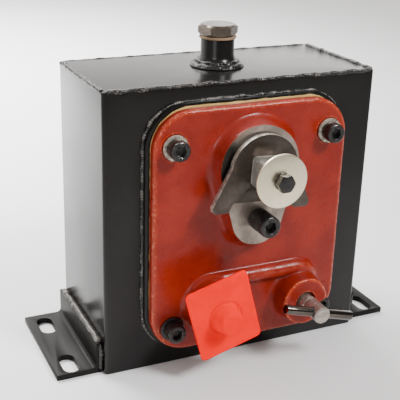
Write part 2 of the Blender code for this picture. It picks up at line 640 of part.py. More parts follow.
def make_check_valves(name, centre, steel, ground_steel, spring_steel):
    """Suction valve below the bore and spring-loaded delivery valve above it."""
    seat = [
        (SUCTION_SEAT_BORE, 110 * MM),
        (8.5 * MM, 110 * MM, 6),
        (8.5 * MM, BLOCK_BOTTOM - GAP, 6),
        (CHECK_BORE - GAP, BLOCK_BOTTOM - GAP),
        (CHECK_BORE - GAP, SUCTION_SEAT_TOP),
        (SUCTION_SEAT_BORE, SUCTION_SEAT_TOP),
    ]
    add_object("suction_seat_" + name, turned(seat, "Z", centre, closed=True), steel)
    for valve, seat_z, bore in (("suction", SUCTION_SEAT_TOP, SUCTION_SEAT_BORE),
                                ("delivery", DELIVERY_SEAT_Z, SEAT_BORE)):
        height = math.sqrt(CHECK_BALL_RADIUS ** 2 - bore ** 2) + GAP
        ball_centre = (*centre, seat_z + height)
        ball = bmesh.new()
        bmesh.ops.create_uvsphere(ball, u_segments=12, v_segments=8, radius=CHECK_BALL_RADIUS,
                                  matrix=Matrix.Translation(ball_centre))
        add_object(valve + "_ball_" + name, ball, ground_steel, ball_centre)
    spring_low = ball_centre[2] + CHECK_BALL_RADIUS + GAP
    spring_high = DELIVERY_CAP_TOP - 3.3 * MM
    coil = helix(centre, 3.4 * MM, 0.5 * MM, spring_low, spring_high, turns=4)
    add_object("delivery_spring_" + name, coil, spring_steel)
    cap = [
        (5 * MM, DELIVERY_CAP_TOP - 3 * MM),
        (5 * MM, BLOCK_TOP + GAP),
        (8.5 * MM, BLOCK_TOP + GAP, 6),
        (8.5 * MM, DELIVERY_CAP_TOP - 1.2 * MM, 6),
        (7.8 * MM, DELIVERY_CAP_TOP),
    ]
    add_object("delivery_cap_" + name, turned(cap, "Z", centre), steel)


def helix(centre, coil_radius, wire_radius, low, high, turns, steps=10, sides=5):
    """Round wire wound about a vertical axis."""
    rings = []
    low, high = low + wire_radius, high - wire_radius
    for k in range(turns * steps + 1):
        angle = 2 * math.pi * k / steps
        z = low + (high - low) * k / (turns * steps)
        outward = Vector((math.cos(angle), math.sin(angle), 0))
        ring = []
        for j in range(sides):
            turn = 2 * math.pi * j / sides
            offset = outward * (coil_radius + wire_radius * math.cos(turn))
            ring.append(Vector((centre[0], centre[1], z + wire_radius * math.sin(turn))) + offset)
        rings.append(ring)
    return skin(rings)


def make_end_plug(name, side, axis, steel):
    spigot_end, head, cap = 47 * MM, BLOCK_HALF_LENGTH + GAP, 57.8 * MM
    profile = [
        (PLUNGER_RADIUS, side * spigot_end),
        (PLUNGER_RADIUS, side * head),
        (15 * MM, side * head),
        (15 * MM, side * (cap - 0.8 * MM)),
        (14.2 * MM, side * cap),
        (6 * MM, side * cap, 6),
        (6 * MM, side * (spigot_end + 4 * MM), 6),
    ]
    add_object("end_plug_" + name, turned(profile, "X", axis), steel)


def make_plunger(axis, ground_steel):
    """Double-ended plunger with a seal groove at each end and a slot for the tip of the arm."""
    end = PLUNGER_HALF_LENGTH
    groove_out, groove_in = end - 3.5 * MM, end - 6.5 * MM
    groove_radius = PLUNGER_RADIUS - 1.5 * MM
    half = [(PLUNGER_RADIUS - MM, end), (PLUNGER_RADIUS, end - MM), (PLUNGER_RADIUS, groove_out),
            (groove_radius, groove_out), (groove_radius, groove_in), (PLUNGER_RADIUS, groove_in)]
    profile = [(radius, -x) for radius, x in half] + half[::-1]
    plunger = add_object("plunger", turned(profile, "X", axis), ground_steel, (0, *axis))
    reach = 2 * PLUNGER_RADIUS
    flat, notch = 15 * MM, ARM_TIP_RADIUS + 2 * GAP
    top = PLUNGER_Z + reach
    cut(plunger, box((-flat, axis[0] - reach, PLUNGER_Z + 5 * MM), (flat, axis[0] + reach, top)))
    cut(plunger, box((-notch, axis[0] - reach, PLUNGER_Z - 6 * MM), (notch, axis[0] + reach, top + MM)))


# --- ports -------------------------------------------------------------------------------

def make_release_valve(steel, ground_steel):
    """Screw-down spindle turned by a T-bar; its nose holds a ball on the seat behind it."""
    centre = (VALVE_X, VALVE_Z)
    spindle = [
        (2.5 * MM, ahead(RELEASE_BALL_Y + RELEASE_BALL_RADIUS + GAP)),
        (3.4 * MM, ahead(24 * MM)),
        (SPINDLE_RADIUS, ahead(24 * MM)),
        (SPINDLE_RADIUS, ahead(SPINDLE_END - 0.8 * MM)),
        (SPINDLE_RADIUS - 0.8 * MM, ahead(SPINDLE_END)),
    ]
    origin = (VALVE_X, ahead(TBAR_FRONT), VALVE_Z)
    body = add_object("release_spindle", turned(spindle, "Y", centre), steel, origin)
    tilt = Matrix.Translation(origin) @ Matrix.Rotation(TBAR_TILT, 4, "Y") @ Matrix.Translation(-Vector(origin))
    bar_centre = (origin[1], origin[2])
    hole = rod(TBAR_RADIUS + GAP, VALVE_X - 20 * MM, VALVE_X + 20 * MM, "X", bar_centre, 16)
    bmesh.ops.transform(hole, matrix=tilt, verts=hole.verts)
    cut(body, hole)
    half, edge = TBAR_LENGTH / 2, 0.8 * MM
    profile = [(TBAR_RADIUS - edge, VALVE_X - half), (TBAR_RADIUS, VALVE_X - half + edge),
               (TBAR_RADIUS, VALVE_X + half - edge), (TBAR_RADIUS - edge, VALVE_X + half)]
    bar = turned(profile, "X", bar_centre)
    bmesh.ops.transform(bar, matrix=tilt, verts=bar.verts)
    add_object("release_tbar", bar, ground_steel, origin)
    ball_centre = (VALVE_X, ahead(RELEASE_BALL_Y), VALVE_Z)
    ball = bmesh.new()
    bmesh.ops.create_uvsphere(ball, u_segments=12, v_segments=8, radius=RELEASE_BALL_RADIUS,
                              matrix=Matrix.Translation(ball_centre))
    add_object("release_ball", ball, ground_steel, ball_centre)


def make_port_plug(plastic):
    """Soft shipping plug: a square flag to pull on, a hollow knob and a stub inside the port."""
    half_width, half_height = PLUG_FLAG[0] / 2, PLUG_FLAG[1] / 2
    outline = rounded_rectangle(half_width, -half_height, half_height, PLUG_FLAG_CORNER, 3)
    flag_back = PLUG_FLAG_FRONT - PLUG_FLAG_THICKNESS
    rings = [[Vector((x, ahead(distance), z)) for x, z in outline] for distance in (PLUG_FLAG_FRONT, flag_back)]
    flag = skin(rings)
    flag_centre = (PORT_X + PLUG_FLAG_SHIFT[0], 0, PORT_Z + PLUG_FLAG_SHIFT[1])
    twist = Matrix.Translation(flag_centre) @ Matrix.Rotation(-PLUG_TWIST, 4, "Y")
    bmesh.ops.transform(flag, matrix=twist, verts=flag.verts)
    origin = (PORT_X, ahead(PORT_BOSS_FRONT), PORT_Z)
    plug = add_object("port_plug", flag, plastic, origin)
    knob_front = PLUG_FLAG_FRONT + PLUG_KNOB_LENGTH
    inside = PORT_BOSS_FRONT - 14 * MM
    core = [
        (PORT_BORE - 3 * GAP, ahead(inside)),
        (PORT_BORE - GAP, ahead(PORT_BOSS_FRONT)),
        (PORT_BORE + 4 * MM, ahead(PORT_BOSS_FRONT + GAP)),
        (PORT_BORE + 4 * MM, ahead(flag_back + MM)),
        (PLUG_KNOB_RADIUS, ahead(PLUG_FLAG_FRONT - 0.5 * MM)),
        (PLUG_KNOB_RADIUS - 2 * MM, ahead(knob_front - 1.5 * MM)),
        (PLUG_KNOB_RADIUS - 3.5 * MM, ahead(knob_front)),
    ]
    hollow = rod(PORT_BORE - 3 * MM, ahead(knob_front - 2.5 * MM), ahead(inside - MM), "Y", (PORT_X, PORT_Z), 20)
    join(plug, turned(core, "Y", (PORT_X, PORT_Z)))
    cut(plug, hollow)


def build():
    for obj in list(bpy.data.objects):
        bpy.data.objects.remove(obj, do_unlink=True)
    black_paint = make_material("black_paint", (0.024, 0.022, 0.021), 0.38, 0.0)
    cast_red = make_material("red_oxide_paint", (0.31, 0.045, 0.025), 0.35, 0.0)
    black_oxide = make_material("black_oxide_steel", (0.03, 0.028, 0.026), 0.38, 0.8)
    zinc = make_material("zinc_plate", (0.66, 0.62, 0.55), 0.3, 1.0)
    steel = make_material("machined_steel", (0.42, 0.4, 0.38), 0.32, 1.0)
    plate_steel = make_material("mill_scale_steel", (0.13, 0.115, 0.1), 0.42, 0.9)
    ground_steel = make_material("ground_steel", (0.62, 0.61, 0.6), 0.16, 1.0)
    spring_steel = make_material("spring_steel", (0.35, 0.34, 0.33), 0.3, 1.0)
    bronze = make_material("bronze", (0.45, 0.27, 0.1), 0.35, 1.0)
    rubber = make_material("nitrile_rubber", (0.02, 0.02, 0.02), 0.7, 0.0)
    fibre = make_material("sealing_fibre", (0.28, 0.2, 0.13), 0.75, 0.0)
    paper = make_material("gasket_paper", (0.62, 0.45, 0.16), 0.8, 0.0)
    plastic = make_material("soft_red_plastic", (0.9, 0.07, 0.045), 0.45, 0.0)

    make_tank(black_paint)
    make_foot("foot_left", -1, black_paint)
    make_foot("foot_right", 1, black_paint)
    make_filler(black_paint, zinc, fibre)
    make_pad_and_gasket(black_paint, paper)
    make_pump_body(cast_red)
    make_cover_fasteners(black_oxide)
    make_stop(black_oxide)
    make_rocker(steel, plate_steel, zinc, bronze, rubber, black_oxide)
    make_cylinder(steel, ground_steel, rubber, spring_steel, black_oxide)
    make_release_valve(steel, ground_steel)
    make_port_plug(plastic)


build()
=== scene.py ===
"""Look of a hydraulic hand pump on its oil tank: detailed pieces, materials, light and camera.

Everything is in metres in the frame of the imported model. Distances called "ahead" are measured
forwards from the tank's front face.
"""
import math

import bmesh
import bpy
from mathutils import Matrix, Vector, noise


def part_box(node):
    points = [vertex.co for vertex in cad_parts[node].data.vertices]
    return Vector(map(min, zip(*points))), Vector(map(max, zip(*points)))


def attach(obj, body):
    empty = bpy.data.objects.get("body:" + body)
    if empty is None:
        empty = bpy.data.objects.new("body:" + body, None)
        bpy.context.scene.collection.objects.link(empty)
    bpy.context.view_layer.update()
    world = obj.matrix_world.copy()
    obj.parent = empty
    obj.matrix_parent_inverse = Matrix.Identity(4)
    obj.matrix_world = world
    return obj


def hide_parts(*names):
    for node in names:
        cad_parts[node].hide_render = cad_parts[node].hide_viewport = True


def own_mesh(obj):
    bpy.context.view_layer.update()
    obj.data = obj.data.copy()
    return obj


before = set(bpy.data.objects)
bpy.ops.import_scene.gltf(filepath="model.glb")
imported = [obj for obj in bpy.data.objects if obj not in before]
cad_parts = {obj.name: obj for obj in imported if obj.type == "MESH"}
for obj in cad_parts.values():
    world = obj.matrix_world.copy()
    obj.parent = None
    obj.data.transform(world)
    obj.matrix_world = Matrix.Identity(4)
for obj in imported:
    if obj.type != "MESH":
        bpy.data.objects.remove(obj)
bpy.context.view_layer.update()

MM = 0.001
GAP = 0.3 * MM
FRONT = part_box("tank_front_plate")[0].y


def ahead(distance):
    return FRONT - distance * MM


# --- meshes ------------------------------------------------------------------------------

def make(name, bm, *materials, sharp=35):
    bmesh.ops.recalc_face_normals(bm, faces=bm.faces)
    mesh = bpy.data.meshes.new(name)
    bm.to_mesh(mesh)
    bm.free()
    mesh.shade_smooth()
    mesh.set_sharp_from_angle(angle=math.radians(sharp))
    for material in materials:
        mesh.materials.append(material)
    obj = bpy.data.objects.new(name, mesh)
    bpy.context.scene.collection.objects.link(obj)
    return obj


def settle(obj, body, slot, *nodes):
    """Let a finished piece ride on its body and stand for its CAD nodes."""
    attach(obj, body)
    if nodes:
        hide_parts(*nodes)
    return obj


def skin(rings, closed=False, bm=None):
    """Quads through rings of points with equal counts; capped unless the rings close on themselves."""
    bm = bm or bmesh.new()
    loops = [[bm.verts.new(point) for point in ring] for ring in rings]
    count = len(loops[0])
    pairs = list(zip(loops, loops[1:]))
    if closed:
        pairs.append((loops[-1], loops[0]))
    for first, second in pairs:
        for i in range(count):
            j = (i + 1) % count
            bm.faces.new((first[i], first[j], second[j], second[i]))
    if not closed:
        bm.faces.new(loops[0])
        bm.faces.new(loops[-1])
    return bm


def lathe(profile, axis, centre, segments=64, closed=False, phase=0.0, bm=None):
    """Turned solid. Profile entries are (radius, along) or dictionaries.

    A dictionary may also give sides, trim (largest reach), slope (how far the surface falls back
    per unit of reach beyond the radius) and knurl (depth of straight knurling).
    """
    rings = []
    for entry in profile:
        spec = entry if isinstance(entry, dict) else {"r": entry[0], "at": entry[1]}
        ring = []
        for k in range(segments):
            angle = 2 * math.pi * k / segments
            reach = spec["r"]
            if spec.get("sides"):
                sector = 2 * math.pi / spec["sides"]
                reach /= math.cos((angle + sector / 2) % sector - sector / 2)
            reach = min(reach, spec.get("trim", reach))
            along = spec["at"] - spec.get("slope", 0.0) * (reach - spec["r"])
            if k % 2:
                reach -= spec.get("knurl", 0.0)
            across, up = reach * math.cos(angle + phase), reach * math.sin(angle + phase)
            if axis == "X":
                ring.append(Vector((along, centre[0] + across, centre[1] + up)))
            elif axis == "Y":
                ring.append(Vector((centre[0] + across, along, centre[1] + up)))
            else:
                ring.append(Vector((centre[0] + across, centre[1] + up, along)))
        rings.append(ring)
    return skin(rings, closed, bm)


def arc(centre, radius, start, end, steps):
    points = []
    for k in range(steps + 1):
        angle = math.radians(start + (end - start) * k / steps)
        points.append((centre[0] + radius * math.cos(angle), centre[1] + radius * math.sin(angle)))
    return points


def rounded_rectangle(half_width, low, high, radius, steps=12):
    outline = arc((half_width - radius, high - radius), radius, 0, 90, steps)
    outline += arc((-half_width + radius, high - radius), radius, 90, 180, steps)
    outline += arc((-half_width + radius, low + radius), radius, 180, 270, steps)
    outline += arc((half_width - radius, low + radius), radius, 270, 360, steps)
    return outline


def egg(upper, upper_radius, lower, lower_radius, steps=48):
    tilt = math.degrees(math.asin((upper_radius - lower_radius) / (upper[1] - lower[1])))
    return (arc(upper, upper_radius, -tilt, 180 + tilt, steps)
            + arc(lower, lower_radius, 180 + tilt, 360 - tilt, steps // 2))


def slab(levels, bm=None):
    """Closed solid through (x, z) outlines at given Y levels."""
    return skin([[Vector((x, y, z)) for x, z in outline] for y, outline in levels], bm=bm)


def block(low, high, bm=None):
    bm = bm or bmesh.new()
    made = bmesh.ops.create_cube(bm, size=1.0)
    for vertex in made["verts"]:
        vertex.co = Vector([low[i] + (vertex.co[i] + 0.5) * (high[i] - low[i]) for i in range(3)])
    return bm


def soften(bm, width, segments=3, angle=30):
    """Round every edge sharper than the angle."""
    bmesh.ops.recalc_face_normals(bm, faces=bm.faces)
    limit = math.radians(angle)
    edges = [e for e in bm.edges if len(e.link_faces) == 2 and e.calc_face_angle(0.0) > limit]
    bmesh.ops.bevel(bm, geom=edges, offset=width, segments=segments, profile=0.5, affect="EDGES",
                    clamp_overlap=True)
    return bm


def apply_all(obj):
    """Bake the modifiers into the mesh."""
    graph = bpy.context.evaluated_depsgraph_get()
    mesh = bpy.data.meshes.new_from_object(obj.evaluated_get(graph))
    obj.modifiers.clear()
    old = obj.data
    obj.data = mesh
    bpy.data.meshes.remove(old)
    return obj


def cut(obj, bm, operation="DIFFERENCE"):
    """Boolean with a throw-away tool."""
    tool = make("tool", bm)
    modifier = obj.modifiers.new("cut", "BOOLEAN")
    modifier.operation = operation
    modifier.solver = "MANIFOLD"
    modifier.object = tool
    apply_all(obj)
    bpy.data.objects.remove(tool)


def melt(obj, voxel, rounds):
    """Fuse overlapping shells into one skin with rounded corners, as in a casting."""
    remesh = obj.modifiers.new("melt", "REMESH")
    remesh.mode = "VOXEL"
    remesh.voxel_size = voxel
    remesh.use_smooth_shade = True
    smooth = obj.modifiers.new("smooth", "SMOOTH")
    smooth.factor = 0.5
    smooth.iterations = rounds
    return apply_all(obj)


def roughen(obj, *layers):
    """Push vertices along their normals by layers of (size of a bump, height) noise."""
    moved = []
    for vertex in obj.data.vertices:
        push = sum(noise.noise(vertex.co / size) * height for size, height in layers)
        moved.extend(vertex.co + vertex.normal * push)
    obj.data.vertices.foreach_set("co", moved)
    obj.data.update()


def bead(points, width, seed, closed=False, pitch=2.1 * MM, flat=0.8, wander=0.25, bm=None):
    """Weld bead along a polyline: overlapping ripples on an uneven round ridge."""
    path = [Vector(p) for p in points]
    if closed:
        path.append(path[0])
    step = 0.55 * MM
    samples = []
    for start, end in zip(path, path[1:]):
        length = (end - start).length
        count = max(1, round(length / step))
        samples += [start.lerp(end, k / count) for k in range(count)]
    if not closed:
        samples.append(path[-1])
    total = len(samples)
    rings = []
    for k, point in enumerate(samples):
        before = samples[(k - 1) % total] if closed else samples[max(k - 1, 0)]
        after = samples[(k + 1) % total] if closed else samples[min(k + 1, total - 1)]
        tangent = (after - before).normalized()
        side = tangent.cross(Vector((0.31, 0.43, 0.85))).normalized()
        up = side.cross(tangent)
        travel = k * step
        ripple = (travel / pitch + 0.4 * noise.noise(Vector((travel * 90, seed, 0)))) % 1.0
        size = width * (0.84 + 0.2 * ripple + 0.22 * noise.noise(Vector((travel * 160, seed, 5))))
        if not closed:
            size *= min(1.0, 0.35 + travel / (3 * MM), 0.35 + (total - 1 - k) * step / (3 * MM))
        drift = side * noise.noise(Vector((travel * 110, seed, 9))) * width * wander
        drift += up * noise.noise(Vector((travel * 110, seed, 13))) * width * wander
        ring = []
        for j in range(10):
            turn = 2 * math.pi * j / 10
            ring.append(point + drift + side * size * math.cos(turn) + up * size * flat * math.sin(turn))
        rings.append(ring)
    return skin(rings, closed, bm)


def tube(points, radius, thin, bm):
    """Round bar along a flat path, drawn down to the thin radius at both ends."""
    path = [Vector(p) for p in points]
    last = len(path) - 1
    rings = []
    for k, point in enumerate(path):
        tangent = (path[min(k + 1, last)] - path[max(k - 1, 0)]).normalized()
        side = tangent.cross(Vector((0, 1, 0)))
        reach = thin + (radius - thin) * min(1.0, 3.5 * k / last, 3.5 * (last - k) / last)
        ring = []
        for j in range(24):
            turn = 2 * math.pi * j / 24
            ring.append(point + side * reach * math.cos(turn) + Vector((0, reach * math.sin(turn), 0)))
        rings.append(ring)
    skin(rings, bm=bm)


def weld(name, shape, material):
    settle(make(name, shape, material, sharp=60), "tank", "black_paint")


# --- materials ---------------------------------------------------------------------------

class Look:
    """Small builder for a Principled material."""

    def __init__(self, name, metallic=0.0, **sockets):
        self.material = bpy.data.materials.new(name)
        self.material.use_nodes = True
        self.tree = self.material.node_tree
        self.shader = self.tree.nodes["Principled BSDF"]
        self.shader.inputs["Metallic"].default_value = metallic
        for socket, value in sockets.items():
            self.shader.inputs[SOCKETS[socket]].default_value = value
        self.place = self.tree.nodes.new("ShaderNodeTexCoord").outputs["Object"]
        self.normal = None

    def node(self, kind, inputs=(), **settings):
        made = self.tree.nodes.new("ShaderNode" + kind)
        for key, value in settings.items():
            setattr(made, key, value)
        for key, value in dict(inputs).items():
            if hasattr(value, "links"):
                self.tree.links.new(value, made.inputs[key])
            else:
                made.inputs[key].default_value = value
        return made

    def stretched(self, scale):
        return self.node("Mapping", {"Vector": self.place, "Scale": scale}).outputs["Vector"]

    def grain(self, scale, detail=3.0, roughness=0.55, place=None, distortion=0.0):
        return self.node("TexNoise", {"Vector": place or self.place, "Scale": scale, "Detail": detail,
                                      "Roughness": roughness, "Distortion": distortion}).outputs["Fac"]

    def cells(self, scale, place=None, feature="F1"):
        return self.node("TexVoronoi", {"Vector": place or self.place, "Scale": scale},
                         feature=feature).outputs["Distance"]

    def spread(self, value, low, high, to_low=0.0, to_high=1.0):
        return self.node("MapRange", {"Value": value, "From Min": low, "From Max": high,
                                      "To Min": to_low, "To Max": to_high}).outputs["Result"]

    def times(self, first, second, operation="MULTIPLY"):
        return self.node("Math", {0: first, 1: second}, operation=operation).outputs[0]

    def blend(self, factor, first, second):
        made = self.tree.nodes.new("ShaderNodeMix")
        made.data_type = "RGBA"
        for index, value in ((0, factor), (6, first), (7, second)):
            if hasattr(value, "links"):
                self.tree.links.new(value, made.inputs[index])
            else:
                made.inputs[index].default_value = (*value, 1.0) if index else value
        return made.outputs[2]

    def bump(self, height, distance, strength=1.0):
        inputs = {"Height": height, "Distance": distance, "Strength": strength}
        if self.normal:
            inputs["Normal"] = self.normal
        self.normal = self.node("Bump", inputs).outputs["Normal"]

    def finish(self, colour, roughness):
        for socket, value in (("Base Color", colour), ("Roughness", roughness), ("Normal", self.normal)):
            if value is None:
                continue
            if hasattr(value, "links"):
                self.tree.links.new(value, self.shader.inputs[socket])
            else:
                fixed = (*value, 1.0) if socket == "Base Color" else value
                self.shader.inputs[socket].default_value = fixed
        if self.normal and self.shader.inputs["Coat Weight"].default_value:
            self.tree.links.new(self.normal, self.shader.inputs["Coat Normal"])
        return self.material


SOCKETS = {"coat": "Coat Weight", "coat_roughness": "Coat Roughness", "ior": "IOR",
           "specular": "Specular IOR Level", "subsurface": "Subsurface Weight",
           "subsurface_radius": "Subsurface Radius", "subsurface_scale": "Subsurface Scale"}


def black_paint_look(name, smooth, dull, ior):
    """Brushed-on enamel with uneven tone, a few chips and hair scratches."""
    look = Look(name, ior=ior)
    broad = look.grain(14, 2)
    orange_peel = look.grain(240, 2)
    chips = look.spread(look.cells(90), 0.05, 0.03)
    chips = look.times(chips, look.spread(look.grain(30), 0.6, 0.68))
    hairs = look.spread(look.grain(700, 2, place=look.stretched((1, 1, 0.05))), 0.7, 0.76)
    hairs = look.times(hairs, look.spread(look.grain(26), 0.58, 0.66))
    wear = look.node("Math", {0: chips, 1: look.times(hairs, 0.4)}, operation="MAXIMUM").outputs[0]
    colour = look.blend(look.spread(broad, 0.3, 0.7), (0.005, 0.0044, 0.0041), (0.009, 0.008, 0.0074))
    colour = look.blend(look.times(wear, 0.6), colour, (0.2, 0.18, 0.16))
    rough = look.node("Math", {0: look.spread(broad, 0.3, 0.7, smooth, dull), 1: look.times(wear, 0.3)},
                      operation="ADD").outputs[0]
    look.bump(broad, 0.6 * MM, 0.2)
    look.bump(orange_peel, 0.04 * MM, 0.25)
    look.bump(wear, 0.12 * MM, 0.5)
    return look.finish(colour, rough)


def weld_look(name, base, speck_from, speck_to):
    """Weld metal under enamel; its crests turn pale where coarse noise is high, partly as rubbed-through
    metal and partly as painted highlights.
    """
    look = Look(name, ior=1.4)
    fine = look.grain(900, 4, 0.65)
    crest = look.spread(look.node("NewGeometry").outputs["Pointiness"], 0.52, 0.6, 0.0, 1.0)
    # Pale crests: partly rubbed-through metal, partly painted highlights on the bead's convex ridges.
    bright = look.times(crest, look.spread(look.grain(110, 4, 0.7), speck_from, speck_to))
    colour = look.blend(look.times(bright, 0.75), base, (0.34, 0.31, 0.28))
    look.bump(fine, 0.2 * MM, 0.5)
    return look.finish(colour, look.spread(fine, 0.3, 0.7, 0.16, 0.3))


def red_paint_look():
    """Red oxide paint over sand cast iron, with painted shade darkening the hollows, orange on convex edges
    that is partly thin paint and partly a painted highlight, and painted glints along the edges.
    """
    look = Look("thick_red_paint", coat=0.12, coat_roughness=0.12, ior=1.3)
    broad = look.grain(38, 3, 0.6)
    middle = look.grain(150, 3, 0.6)
    fine = look.grain(600, 3)
    edge = look.node("NewGeometry").outputs["Pointiness"]
    colour = look.blend(look.spread(broad, 0.35, 0.65), (0.172, 0.0085, 0.0038), (0.232, 0.0145, 0.006))
    # Painted shade: darker red in concave hollows.
    colour = look.blend(look.spread(edge, 0.488, 0.45), colour, (0.085, 0.003, 0.0015))
    # Orange on convex edges: partly thin paint, partly a painted highlight.
    colour = look.blend(look.spread(edge, 0.504, 0.54, 0.0, 0.9), colour, (0.46, 0.044, 0.008))
    # Painted glints: pale pinkish specks along convex edges where noise is high.
    glints = look.times(look.spread(edge, 0.505, 0.525), look.spread(look.grain(420, 3), 0.54, 0.62))
    colour = look.blend(look.times(glints, 0.38), colour, (0.80, 0.36, 0.22))
    look.bump(middle, 0.5 * MM, 0.55)
    look.bump(look.grain(280, 3, 0.7), 0.3 * MM, 0.5)
    look.bump(fine, 0.1 * MM, 0.5)
    return look.finish(colour, look.spread(middle, 0.35, 0.65, 0.26, 0.42))


def metal_look(name, base, dark, rough, scale=(1, 1, 1), grain=500, depth=0.03, blotch=40, metallic=1.0):
    """Metal with fine working marks stretched along one axis and broad stains."""
    look = Look(name, metallic=metallic)
    stain = look.spread(look.grain(blotch, 4, 0.6), 0.35, 0.7)
    marks = look.grain(grain, 3, 0.6, place=look.stretched(scale))
    colour = look.blend(stain, base, dark)
    colour = look.blend(look.spread(marks, 0.35, 0.75, 0.0, 0.45), colour, dark)
    look.bump(marks, depth * MM, 0.5)
    return look.finish(colour, look.spread(stain, 0.0, 1.0, *rough))


def cast_face_look():
    """Bare machined face of grey iron with tool marks, pores, and a painted shadow of the stop plate on the
    face left of the shaft.
    """
    look = Look("machined_iron", metallic=0.85)
    stain = look.spread(look.grain(60, 4, 0.65), 0.35, 0.65)
    pores = look.spread(look.cells(900), 0.16, 0.08)
    colour = look.blend(stain, (0.37, 0.31, 0.265), (0.20, 0.165, 0.14))
    colour = look.blend(look.times(pores, 0.5), colour, (0.08, 0.07, 0.06))
    parts = look.node("SeparateXYZ", {0: look.place}).outputs
    # Painted shadow of the stop plate: a dark band on the face left of the shaft, with a ragged edge.
    ragged = look.times(parts["X"], look.spread(look.grain(90, 3), 0.0, 1.0, -4 * MM, 4 * MM), "ADD")
    painted_plate_shadow = look.times(look.spread(ragged, -19 * MM, -24 * MM), look.spread(parts["Z"], 158 * MM, 170 * MM))
    painted_plate_shadow = look.times(painted_plate_shadow, look.spread(parts["Z"], 204 * MM, 196 * MM))
    colour = look.blend(look.times(painted_plate_shadow, 0.9), colour, (0.016, 0.014, 0.012))
    look.bump(look.grain(300, 3, place=look.stretched((1, 1, 6))), 0.05 * MM, 0.5)
    return look.finish(colour, look.spread(stain, 0.0, 1.0, 0.3, 0.5))


def oxide_look():
    """Black oxide with a film of lubricant."""
    look = Look("black_oxide", metallic=0.3, ior=1.5)
    worn = look.spread(look.node("NewGeometry").outputs["Pointiness"], 0.56, 0.66, 0.0, 0.3)
    fine = look.grain(1200, 3)
    cloud = look.spread(look.grain(120, 3), 0.35, 0.65)
    colour = look.blend(cloud, (0.010, 0.009, 0.009), (0.022, 0.019, 0.018))
    colour = look.blend(worn, colour, (0.2, 0.18, 0.16))
    look.bump(fine, 0.03 * MM, 0.4)
    return look.finish(colour, look.spread(fine, 0.3, 0.7, 0.2, 0.34))


def plastic_look():
    """Soft moulded plastic with some light passing through, with painted shade deepening the red in its
    creases.
    """
    look = Look("soft_red_plastic", subsurface=0.12, subsurface_radius=(0.8, 0.25, 0.15),
                subsurface_scale=0.004, ior=1.45, specular=0.02)
    cloud = look.spread(look.grain(55, 2), 0.35, 0.65)
    fine = look.grain(900, 2)
    colour = look.blend(cloud, (0.97, 0.004, 0.001), (0.88, 0.003, 0.0008))
    # Painted shade: darker red in concave creases.
    crease_shade = look.spread(look.node("NewGeometry").outputs["Pointiness"], 0.498, 0.47)
    colour = look.blend(crease_shade, colour, (0.52, 0.002, 0.001))
    look.bump(fine, 0.03 * MM, 0.4)
    return look.finish(colour, look.spread(fine, 0.3, 0.7, 0.42, 0.55))


def soft_look(name, base, dark, scale, depth, rough):
    """Sheet or moulded material with a fibrous or grainy surface."""
    look = Look(name)
    cloud = look.spread(look.grain(scale * 0.15, 3), 0.35, 0.65)
    fine = look.grain(scale, 4, 0.7)
    colour = look.blend(cloud, base, dark)
    look.bump(fine, depth * MM, 0.6)
    return look.finish(colour, look.spread(fine, 0.3, 0.7, rough - 0.08, rough + 0.08))


BLACK = black_paint_look("black_paint", 0.17, 0.25, 1.33)
FOOT_BLACK = black_paint_look("black_paint_on_feet", 0.36, 0.48, 1.2)
WELD = weld_look("painted_weld", (0.012, 0.011, 0.010), 0.54, 0.64)
# Pad weld: a wider noise band, so more crests carry pale specks, partly chipped paint and partly painted
# highlights.
PAD_WELD = weld_look("chipped_weld_with_painted_glints", (0.012, 0.011, 0.010), 0.50, 0.55)
FOOT_WELD = weld_look("scaly_weld", (0.060, 0.054, 0.049), 0.48, 0.60)
RED = red_paint_look()
IRON = cast_face_look()
OXIDE = oxide_look()
ZINC = metal_look("zinc_plate", (0.92, 0.82, 0.62), (0.76, 0.66, 0.47), (0.26, 0.38),
                  grain=600, depth=0.015)
STEEL = metal_look("milled_steel", (0.42, 0.39, 0.35), (0.27, 0.24, 0.21), (0.26, 0.38),
                   scale=(1, 0.08, 1), metallic=0.6)
PLUG_STEEL = metal_look("dull_plated_steel", (0.155, 0.13, 0.105), (0.075, 0.061, 0.051), (0.2, 0.32),
                        grain=600, depth=0.015)
SCALE = metal_look("mill_scale_plate", (0.105, 0.087, 0.075), (0.055, 0.045, 0.038), (0.34, 0.48),
                   grain=300, depth=0.1, blotch=70)
CUT_EDGE = metal_look("sawn_plate_edge", (0.66, 0.61, 0.53), (0.12, 0.10, 0.085), (0.26, 0.4),
                      scale=(1, 0.3, 1), grain=700, depth=0.12, blotch=220, metallic=0.6)
GROUND = metal_look("ground_bar", (0.60, 0.59, 0.57), (0.40, 0.39, 0.37), (0.06, 0.14),
                    scale=(0.1, 1, 1), depth=0.01)
BAR = metal_look("drawn_bar", (0.16, 0.138, 0.12), (0.07, 0.06, 0.052), (0.1, 0.24),
                 scale=(0.1, 1, 1), depth=0.02)
TURNED = metal_look("turned_spindle", (0.50, 0.44, 0.39), (0.24, 0.205, 0.18), (0.24, 0.38),
                    grain=900, blotch=150, metallic=0.75)
WORN = metal_look("worn_washer", (0.62, 0.55, 0.45), (0.07, 0.055, 0.048), (0.3, 0.5),
                  grain=900, blotch=260, metallic=0.6)
SPRING = metal_look("spring_wire", (0.45, 0.44, 0.42), (0.25, 0.24, 0.23), (0.25, 0.35))
BRONZE = metal_look("bronze", (0.62, 0.38, 0.15), (0.38, 0.22, 0.08), (0.25, 0.38))
RUBBER = soft_look("nitrile_rubber", (0.018, 0.018, 0.018), (0.03, 0.03, 0.03), 900, 0.03, 0.6)
FIBRE = soft_look("pressed_fibre", (0.3, 0.2, 0.12), (0.2, 0.12, 0.07), 700, 0.08, 0.75)
GASKET = soft_look("gasket_sheet", (0.66, 0.46, 0.17), (0.5, 0.33, 0.1), 500, 0.1, 0.8)
PLASTIC = plastic_look()


# --- tank --------------------------------------------------------------------------------

